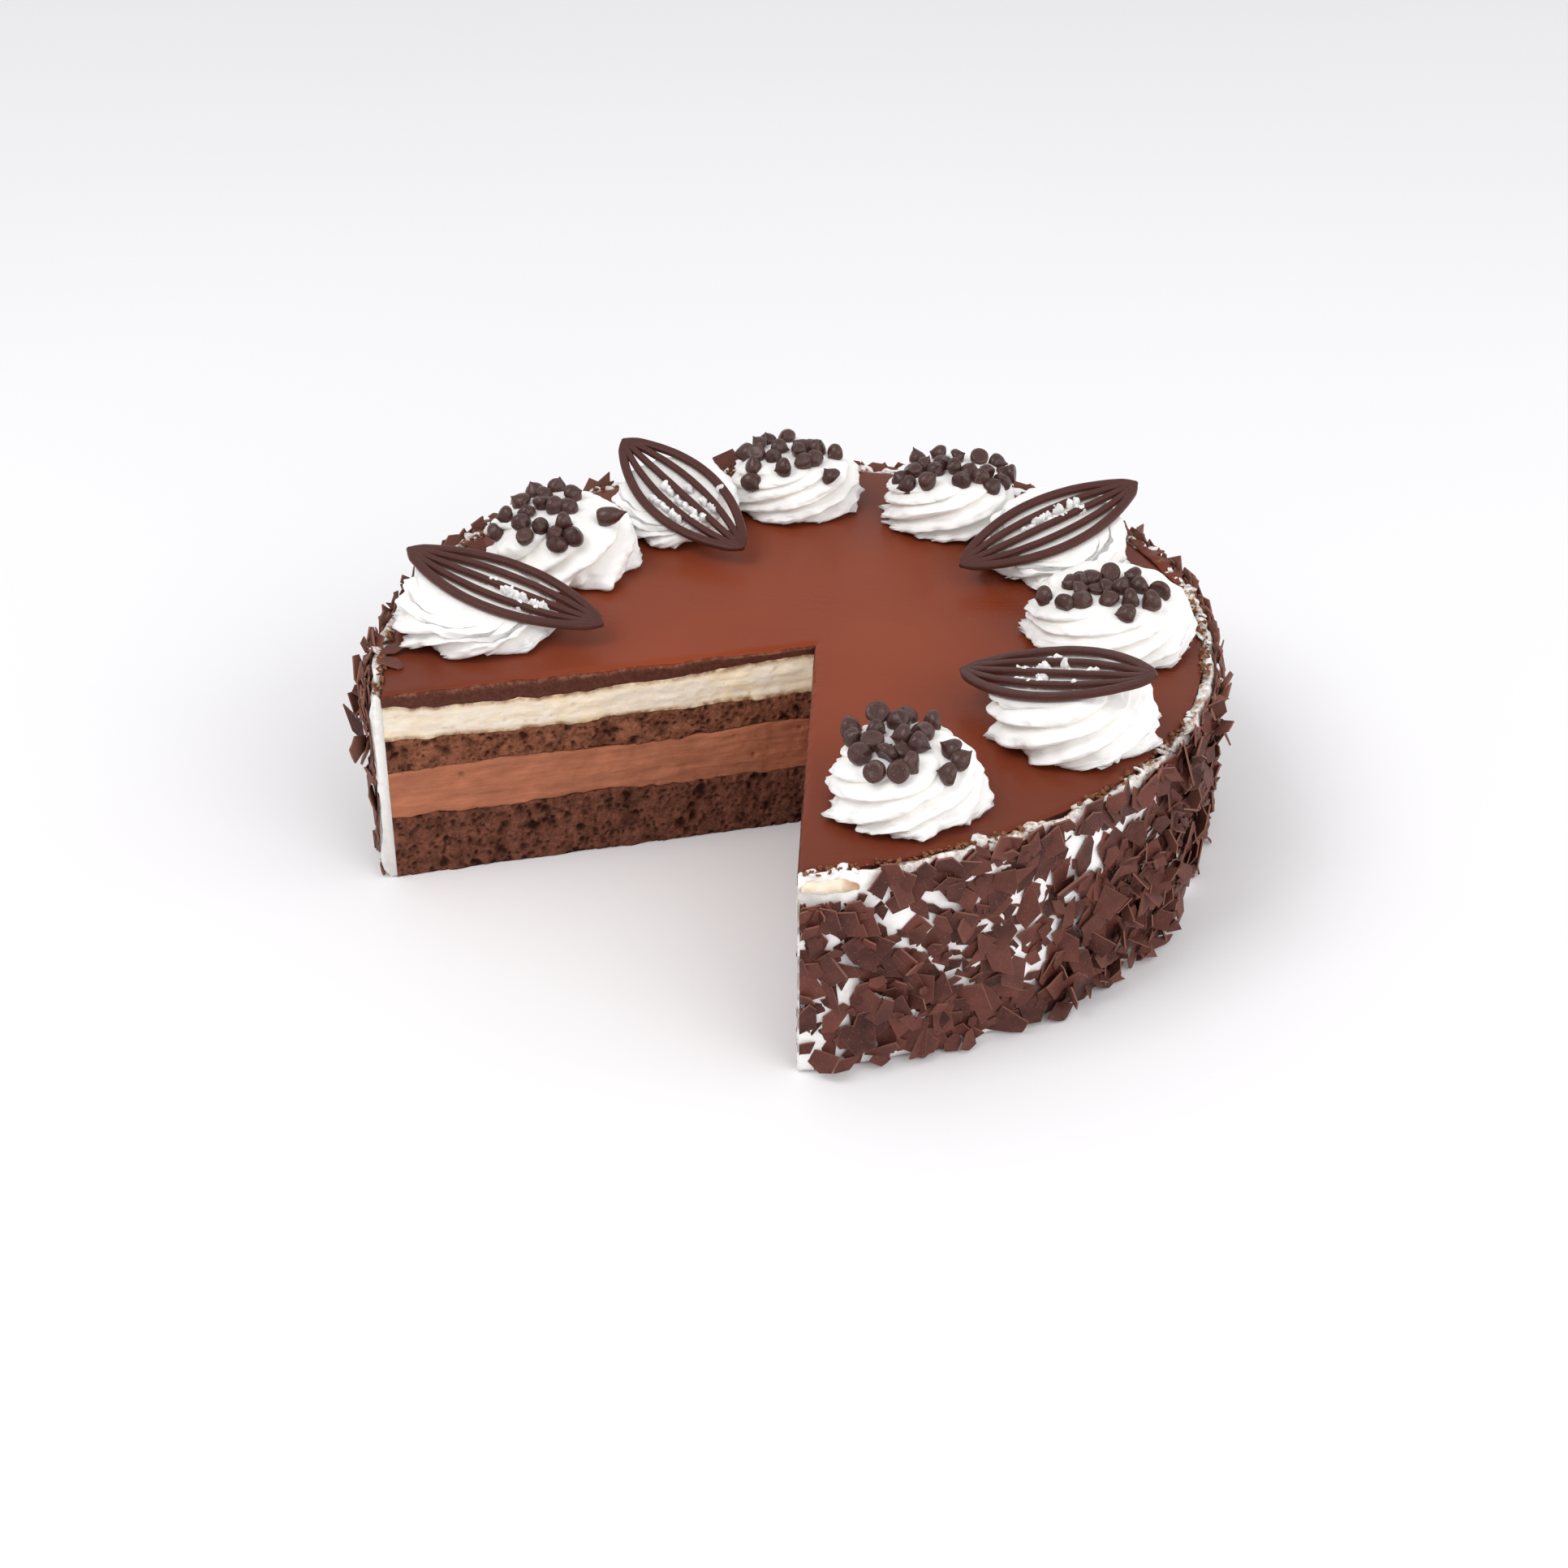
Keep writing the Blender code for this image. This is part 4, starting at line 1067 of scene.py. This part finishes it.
# %% Scatter the drops
PROFILE = np.array([(0.45, 0.05), (0.78, 0.01), (0.93, 0.07), (1.0, 0.20), (0.99, 0.36), (0.88, 0.53),
                    (0.65, 0.69), (0.37, 0.82), (0.18, 0.92), (0.08, 1.00)])
DROP_RADIUS = 0.0031
DROP_HEIGHT = 0.0051
FULL_LENGTH = 9.5
DROP_CLEARANCE = 0.0018
# For each rosette: column and row of a drop in the photograph, and which way its point looks
# there, in tenths of its length to the right, up and towards the viewer
DROPS = {
    0: ((1081, 879, 0, -3, -9), (1081, 900, 6, -3, 4), (1117, 882, 2, 5, 6), (1108, 890, 1, -5, 8),
        (1110, 907, -9, 0, 3), (1148, 889, -9, -1, 2), (1136, 901, -3, 5, 6), (1132, 917, 8, -4, 3),
        (1075, 914, 1, -7, -6), (1047, 896, 9, -2, 3), (1052, 909, 3, 2, 8), (1060, 928, 1, 2, 9),
        (1095, 927, 5, 5, -3), (1115, 922, 1, 6, 3), (1122, 941, 8, -5, 2), (1107, 951, 1, 0, -10),
        (1079, 951, 5, -1, -9), (1171, 922, -6, 5, 2), (1183, 937, 9, 3, 3), (1167, 954, -9, 1, 2)),
    2: ((1284, 736, -8, -1, 3), (1311, 745, -4, -5, 5), (1331, 714, 0, 5, 8), (1315, 718, -6, 2, 3),
        (1346, 711, 2, 6, 6), (1368, 706, 0, -2, -10), (1393, 709, -7, 4, 2), (1381, 722, 1, 8, 3),
        (1367, 723, 6, 3, 4), (1404, 722, -8, -4, 2), (1333, 728, 7, 2, 3), (1333, 739, 0, 4, 8),
        (1365, 736, -4, 6, 4), (1392, 738, -9, -3, 1), (1430, 728, 4, 4, -6), (1418, 741, -8, -3, 3),
        (1388, 756, -9, 1, 3), (1352, 722, 1, 6, 2)),
    4: ((1131, 564, 0, 10, 2), (1156, 559, -8, 2, 3), (1181, 562, 8, 4, 1), (1206, 564, -2, -3, -8),
        (1228, 571, 8, -3, 4), (1244, 584, -9, 0, -2), (1241, 581, 3, 5, 4), (1125, 580, -4, 4, 7),
        (1142, 571, 6, 4, 3), (1153, 578, 1, 3, 8), (1175, 576, -9, -3, 3), (1196, 579, 3, 6, 5),
        (1214, 582, -6, 5, -4), (1185, 592, 0, 2, 9), (1143, 593, 7, 1, 6), (1109, 590, -5, 4, 5),
        (1117, 597, -8, 1, 4), (1236, 592, 5, 6, -3), (1223, 598, 5, 5, 6), (1207, 590, -3, -4, 6),
        (1163, 569, 2, 4, 6)),
    5: ((944, 541, -2, 6, 4), (968, 538, -5, 4, 6), (934, 548, -7, 4, 2), (918, 557, -8, 2, 3),
        (932, 559, 2, -3, -8), (961, 552, 6, -2, 6), (953, 562, 1, 3, 8), (928, 574, -3, 6, 6),
        (964, 577, -8, -2, 3), (926, 595, 1, -4, 8), (986, 548, -4, 6, 3), (983, 556, -6, -3, 5),
        (998, 551, -2, 3, 8), (1008, 552, 5, 2, 6), (990, 569, 6, -4, -5), (1004, 567, 5, -4, 6),
        (1028, 558, -7, -3, 5), (1023, 586, -6, 7, 2)),
    7: ((658, 604, -3, 6, 5), (674, 607, 5, 5, 3), (687, 600, 4, 4, 7), (707, 609, 7, 2, 4),
        (702, 623, 5, 6, 4), (641, 617, -5, 5, 4), (648, 629, -2, 8, 3), (668, 619, 1, -9, -3),
        (685, 624, 8, -2, 4), (622, 636, -8, -2, 4), (643, 645, 4, -5, 6), (666, 647, 1, 4, 8),
        (694, 643, 10, -3, 2), (609, 658, -7, -5, 3), (647, 662, 1, -5, -8), (681, 656, -5, 5, 5),
        (687, 668, 2, 6, 7), (707, 660, 5, 4, 6), (744, 637, 16, 3, 2)),
}


def crown_height(share, height):
    """Height of a rosette's upper side at a share of its radius."""
    return height * np.interp(share, (0.0, 0.36, 0.68, 0.88, 1.0), (1.02, 1.0, 0.93, 0.72, 0.40))


def drop_places(index):
    """Walk down each line of sight to just over the crown, or to the nearest miss."""
    radius, height = ROSETTES[index][2:4]
    column, row, *tip = np.array(DROPS[index], float).T
    levels = GLAZE_TOP + height + np.linspace(0.011, -0.012, 93)
    paths = seen_at_level(column[:, None], row[:, None], levels)
    away = paths[..., :2] - rosette_centre(index)[:2]
    share = np.hypot(away[..., 0], away[..., 1]) / radius
    clear = levels - GLAZE_TOP - crown_height(share, height) - DROP_CLEARANCE
    clear = np.where(share < 0.90, np.maximum(clear, 0), share)
    best = np.argmin(clear, axis=1)
    place = paths[np.arange(len(paths)), best]
    return place, towards(*tip)


def spin_drops(place, axis):
    """Spin the profile, curl its point, then turn every copy's point towards its own axis."""
    draw = np.random.default_rng(3)
    count = len(place)
    length = np.linalg.norm(axis, axis=1)[:, None]
    axis = axis / length
    turn = np.linspace(0, 2 * math.pi, 18, endpoint=False)
    radius, rise = PROFILE[:, 0, None], PROFILE[:, 1, None]
    ring = np.stack((radius * np.cos(turn) * DROP_RADIUS, radius * np.sin(turn) * DROP_RADIUS,
                     (rise + 0 * turn) * DROP_HEIGHT), -1)
    grid = np.broadcast_to(ring, (count, *ring.shape)).copy()
    bend = np.clip((rise - 0.40) / 0.60, 0, 1) ** 2
    curl = draw.uniform(0.0, 0.0022, count)[:, None, None] * bend
    around = draw.uniform(0, 2 * math.pi, count)[:, None, None]
    grid[..., 0] = grid[..., 0] * draw.uniform(0.88, 1.10, count)[:, None, None]
    grid[..., 0] += curl * np.cos(around)
    grid[..., 1] += curl * np.sin(around)
    grid[..., 2] *= length[:, None] / FULL_LENGTH * draw.uniform(0.85, 1.10, count)[:, None, None]
    uneven = [hills(grid + place[:, None, None], 0.0022, 2, 95 + k) for k in range(3)]
    grid += 0.00012 * np.stack(uneven, -1)
    foot = np.broadcast_to((0, 0, 0.0004), (count, 3))
    tip = grid[:, -1].mean(1) + (0, 0, 0.0003)
    turned = turn_to(axis) * draw.uniform(0.93, 1.07, count)[:, None, None]
    shift = np.array([0, 0, DROP_HEIGHT * 0.36])
    copies = set_copies(turned, grid - shift, (foot - shift, tip - shift), place)
    rim = np.array([0, 1.0, 0.6] + [0.0] * 7)[None, :, None]
    return skin(*copies, edge=rim, tone=draw.uniform(0, 1, count)[:, None, None])


found = [drop_places(index) for index in DROPS]
drops = spin_drops(np.concatenate([p for p, _ in found]), np.concatenate([a for _, a in found]))
heaps = [f"rosette_{index + 1}" for index in DROPS]
stand_in("chocolate_drops", [drops], drop_brown, "dark_chocolate", *heaps)

# %% [markdown]
# The leaves are cast in a mould: five ribs that run from tip to tip and grow together there.
# Each rib is a ring profile, flat below and rounded above, carried along its own curve. Where
# the ribs overlap near the tips, the grooves between them get shallower and vanish.

# %% Cast the leaves
def half_width(x):
    """Half a leaf's width at a place along it: a pointed oval."""
    share = np.minimum(1.0, np.abs(2 * x / LEAF_LENGTH))
    return 0.5 * LEAF_WIDTH * (1 - share ** 2) ** 0.9


def cast_leaf(index):
    """Five ribs carried from tip to tip, their profile a rounded bar."""
    middle, along, across, normal = leaf_plane(LEAVES[index])
    x = -0.5 * LEAF_LENGTH * np.cos(np.linspace(0, math.pi, 90))[1:-1]
    inner = 1 - RIB_WIDTH / LEAF_WIDTH
    ribs = np.linspace(-1, 1, 5)[:, None]
    y = ribs * half_width(x) * inner
    slope = np.gradient(y, x, axis=1)
    side = np.stack((-slope, np.ones_like(slope)), -1) / np.sqrt(1 + slope ** 2)[..., None]
    turn = np.linspace(0, 2 * math.pi, 16, endpoint=False)
    tall = 0.5 * np.sign(np.sin(turn)) * np.abs(np.sin(turn)) ** 0.45
    wide = np.sign(np.cos(turn)) * np.abs(np.cos(turn)) ** 0.45 * (1 - 0.30 * np.clip(tall, 0, 1))
    taper = np.clip((0.5 * LEAF_LENGTH - np.abs(x)) / 0.0035, 0.15, 1) ** 0.5
    bar = np.where(np.abs(ribs) == 1, 1.30, 1.0) * RIB_WIDTH / 2 * taper
    cross = side[:, :, None] * (bar[..., None] * wide)[..., None]
    flat = np.stack((x + 0 * y, y), -1)[:, :, None] + cross
    up = 0.84 * LEAF_THICKNESS * tall * (0.55 + 0.45 * taper)[:, None]
    local = lifted(flat, up)
    local[..., 2] += 0.00008 * hills(local + index, 0.004, 2, 91)
    axes = np.stack((along, across, normal))
    tip = np.array([(0.5 * LEAF_LENGTH, 0, 0)] * len(ribs)) @ axes
    # Painted highlight on the lower outer sides of the ribs.
    edge = np.clip(np.abs(wide) * 4 - 3.0, 0, 1) * np.clip(0.4 - tall, 0, 1)
    return skin(middle + local @ axes, middle - tip, middle + tip, edge=edge)


for number, index in enumerate(LEAVES, 1):
    stand_in(f"cast_leaf_{number}", [cast_leaf(index)], leaf_brown, "dark_chocolate", f"leaf_{number}")

# %% [markdown]
# Pressing a leaf on a rosette pushes cream up through its slots, where it tears into small
# peaks. Each peak is a lumpy cone, seen at a pixel and put on the leaf's own plane.

# %% Cream peaks between the ribs
PEAKS = {
    1: ((1261, 824), (1270, 826), (1288, 823), (1300, 812), (1312, 818), (1254, 836), (1343, 827),
        (1276, 841), (1329, 843), (1320, 829), (1283, 833)),
    3: ((1268, 650), (1277, 641), (1290, 633), (1303, 626), (1318, 621), (1299, 641), (1313, 634),
        (1330, 628)),
    6: ((806, 614), (824, 603), (832, 636), (837, 617), (850, 627), (857, 640), (868, 617),
        (879, 625), (850, 603), (884, 598), (818, 622), (866, 634)),
    8: ((622, 725), (631, 731), (644, 734), (637, 744), (669, 747), (655, 742), (611, 717), (658, 750)),
}


def lumps(middle, axis, wide, tall, rough, seed, sides=12):
    """Spun cones from a round foot to a blunt point, roughened by hills, one for every middle."""
    draw = np.random.default_rng(seed)
    count = len(middle)
    turn = np.linspace(0, 2 * math.pi, sides, endpoint=False)
    form = np.array([(0.55, -0.45), (0.86, -0.30), (1.0, -0.05), (0.97, 0.20), (0.86, 0.44), (0.66, 0.66),
                     (0.42, 0.83), (0.18, 0.96)])
    radius, rise = form[:, 0, None], form[:, 1, None]
    ring = np.stack((radius * np.cos(turn), radius * np.sin(turn), rise + 0 * turn), -1)
    size = np.stack((wide * draw.uniform(0.7, 1.3, count), wide * draw.uniform(0.7, 1.3, count), tall), -1)
    grid = ring[None] * size[:, None, None]
    grid = grid * (1 + rough * hills(grid + middle[:, None, None] * 3, np.mean(wide), 2, seed)[..., None])
    tip = np.stack((0 * wide, 0 * wide, tall), -1)
    return set_copies(turn_to(axis), grid, (-0.5 * tip, tip), middle)


def leaf_peaks(index):
    """Peaks on a leaf's plane, rising from under the ribs to about a millimetre over them."""
    middle, along, _, normal = leaf_plane(LEAVES[index])
    column, row = np.array(PEAKS[index], float).T
    draw = np.random.default_rng(index)
    place = seen_on_plane(column, row, middle, normal) - 0.0008 * normal
    shift = draw.uniform(-0.0022, 0.0022, (4, len(place), 1))
    place = np.concatenate([place] + [place + s * along for s in shift])
    axis = unit(normal + draw.uniform(-0.5, 0.5, (len(place), 3)))
    size = draw.uniform(0.5, 1.15, len(place))
    return skin(*lumps(place, axis, 0.0012 * size, 0.0022 * size, 0.20, 101 + index, 16), hollow=0.0)


pressed_rosettes = [f"rosette_{index + 1}" for index in PEAKS]
peaks = [leaf_peaks(index) for index in PEAKS]
stand_in("cream_peaks", peaks, whipped, "whipped_cream", *pressed_rosettes)

# %% [markdown]
# Where glaze and coat meet, the rim is untidy: lumps of cream, some of them brown with crumbs,
# and loose crumbs of sponge and glaze. They are scattered along the rim, thick where slow hills
# are high and thin where they are low, and they lie on the coat's upper edge.

# %% Lumps and crumbs along the rim
def along_rim(count, seed, spread, level):
    """Random places along the rim, kept where slow hills allow, at a distance beyond it."""
    draw = np.random.default_rng(seed)
    angle = draw.uniform(RIGHT_CUT + 0.01, LEFT_CUT - 0.01, count)
    ring = lifted(CAKE_RADIUS * heading(angle), 0.0)
    angle = angle[hills(ring, 0.035, 2, seed) > -0.25]
    beyond = draw.uniform(*spread, len(angle))
    place = from_apex(angle, rim_distance(angle) + beyond)
    height = draw.uniform(*level, len(angle))
    lean = draw.uniform(-0.6, 0.6, (len(angle), 3)) + (0, 0, 1)
    return lifted(place, height), unit(lean), draw


place, axis, draw = along_rim(240, 201, (0.0002, 0.0026), (0.0590, 0.0600))
size = draw.uniform(0.4, 1.3, len(place))
lump_copies = lumps(place, axis, 0.0017 * size, 0.0008 * size, 0.45, 203)
dirt = 0.8 + 1.3 * hills(place, 0.016, 2, 213) + draw.uniform(-0.3, 0.3, len(place))
lump_skin = skin(*lump_copies, hollow=0.0, dirt=np.clip(dirt, 0, 1)[:, None, None])
stand_in("rim_lumps", [lump_skin], whipped, "whipped_cream", "side_coat")

rim_crumb = sponge_finish("rim_crumb", (0.125, 0.040, 0.018), (0.420, 0.190, 0.092))
place, axis, draw = along_rim(900, 207, (-0.0008, 0.0018), (0.0596, 0.0606))
size = draw.uniform(0.3, 1.2, len(place))
crumb_skin = skin(*lumps(place, axis, 0.00070 * size, 0.0005 * size, 0.7, 211, 6), hollow=0.0)
stand_in("rim_crumbs", [crumb_skin], rim_crumb, "sponge", "side_coat")

# %% [markdown]
# At the right, behind the third rosette, the glaze has run over the rim and set in a crinkled
# lip. It is a flat rope along the rim, whose outer side is pushed in and out by short hills.

# %% Run a lip over the rim
def crinkled_lip():
    """Flat ovals along the rim between two places seen in the photograph."""
    ends = seen_at_level(np.array([1449, 1386]), np.array([722, 668]), GLAZE_TOP)[:, :2] - APEX
    share = np.linspace(0, 1, 90)[1:-1, None]
    first, last = np.arctan2(ends[:, 1], ends[:, 0])
    angle = first + (last - first) * share
    turn = np.linspace(0, 2 * math.pi, 16, endpoint=False)
    thick = (1 - np.abs(2 * share - 1) ** 4) ** 0.5
    ring = lifted(CAKE_RADIUS * heading(angle), 0.0)
    notch = 0.0030 * np.clip(hills(ring, 0.0021, 2, 231), -0.7, 1) * np.clip(np.cos(turn), 0, 1)
    out = rim_distance(angle) + 0.0008 + (0.0024 * np.cos(turn) + notch) * thick
    z = 0.0604 + 0.0004 * thick * np.sin(turn) + 0.0005 * hills(ring, 0.0040, 2, 233) * thick
    grid = lifted(from_apex(angle, out), z)
    # The outer side takes the cut band's dark colour and the painted lip highlight.
    edge = 0.8 * np.clip(np.cos(turn), 0, 1) * thick
    return skin(grid, grid[0].mean(0), grid[-1].mean(0), cut=edge[None], lip=edge[None], hollow=0.0)


stand_in("crinkled_lip", [crinkled_lip()], glaze_brown, "glaze", "chocolate_glaze")

# %% [markdown]
# At the front corner a tongue of the vanilla cream has been squeezed out over the coat, and its
# far end is toasted brown. It is a lumpy rope that follows the rim for fifteen millimetres.

# %% Squeeze out the tongue
def cream_tongue():
    """Ovals along the rim, thick in the middle and thin at both ends."""
    share = np.linspace(0, 1, 42)[1:-1, None]
    angle = RIGHT_CUT + 0.004 + share * 0.130
    turn = np.linspace(0, 2 * math.pi, 18, endpoint=False)
    thick = (1 - np.abs(2 * share - 1) ** 5) ** 0.5
    out = rim_distance(angle) + 0.0030 + 0.0013 * thick * np.cos(turn)
    z = 0.0571 + 0.0017 * thick * np.sin(turn) - 0.0008 * share
    grid = lifted(from_apex(angle, out), z)
    outward = lifted(heading(angle) * np.cos(turn)[:, None], np.sin(turn))
    grid = grid + outward * (0.0006 * hills(grid, 0.0030, 3, 221))[..., None]
    toast = 0.8 * np.clip((share - 0.62) / 0.25 + 0.4 * hills(grid, 0.003, 2, 223), 0, 1)
    return skin(grid, grid[0].mean(0), grid[-1].mean(0), edge=0.4, hollow=0.0, toast=toast[None])


stand_in("cream_tongue", [cream_tongue()], ivory, "filling", "side_coat")

# %% [markdown]
# The cake stands on a plain pale floor in soft studio light. A wide lamp high on the left gives
# the gentle highlights and shadows, weaker ones in front and on the right open them up, and a
# bright world fills them. The camera stands where the photographer's did.

# %% Floor, light and camera
LAMP_TARGET = np.array([0, 0, 0.03])


def lay_floor():
    """A flat square, wide enough to fill the view."""
    mesh = bpy.data.meshes.new("floor")
    mesh.from_pydata([(-4, -4, 0), (4, -4, 0), (4, 8, 0), (-4, 8, 0)], [], [(0, 1, 2, 3)])
    pale = Finish("pale_floor", Roughness=0.6, Specular_IOR_Level=0.2)
    soft = pale.noise(0.4, 2, 0.5).between(0.2, 0.8)
    colour = pale.mix(soft, (0.85, 0.84, 0.85), (0.87, 0.86, 0.87))
    mesh.materials.append(pale.paint(Base_Color=colour))
    floor = bpy.data.objects.new("floor", mesh)
    bpy.context.scene.collection.objects.link(floor)


def hang_lamp(name, place, size, power):
    """A square area lamp that points at the middle of the cake."""
    light = bpy.data.lights.new(name, "AREA")
    light.size = size
    light.energy = power
    lamp = bpy.data.objects.new(name, light)
    lamp.location = place
    toward = LAMP_TARGET - place
    pan = math.atan2(toward[1], toward[0])
    tilt = math.atan2(math.hypot(toward[0], toward[1]), -toward[2])
    lamp.rotation_euler = (tilt, 0, pan - math.pi / 2)
    bpy.context.scene.collection.objects.link(lamp)


lay_floor()
hang_lamp("key", (-0.9, -0.5, 1.5), 0.9, 12)
hang_lamp("fill", (0.95, -1.2, 0.9), 1.2, 9.5)
hang_lamp("side", (1.5, 0.0, 0.6), 1.2, 5)
world = bpy.data.worlds.new("studio")
world.use_nodes = True
background = world.node_tree.nodes["Background"].inputs
background["Color"].default_value = (0.99, 0.99, 1.0, 1)
background["Strength"].default_value = 0.76
bpy.context.scene.world = world
bpy.context.scene.view_settings.view_transform = "Standard"

lens = bpy.data.cameras.new("camera")
lens.lens = LENS
lens.sensor_width = SENSOR
lens.clip_end = 50
camera = bpy.data.objects.new("camera", lens)
camera.location = EYE + (*AXIS, 0)
camera.rotation_euler = (math.pi / 2 - ELEVATION, 0, 0)
bpy.context.scene.collection.objects.link(camera)
bpy.context.scene.camera = camera
print("camera at", np.round(camera.location, 4))
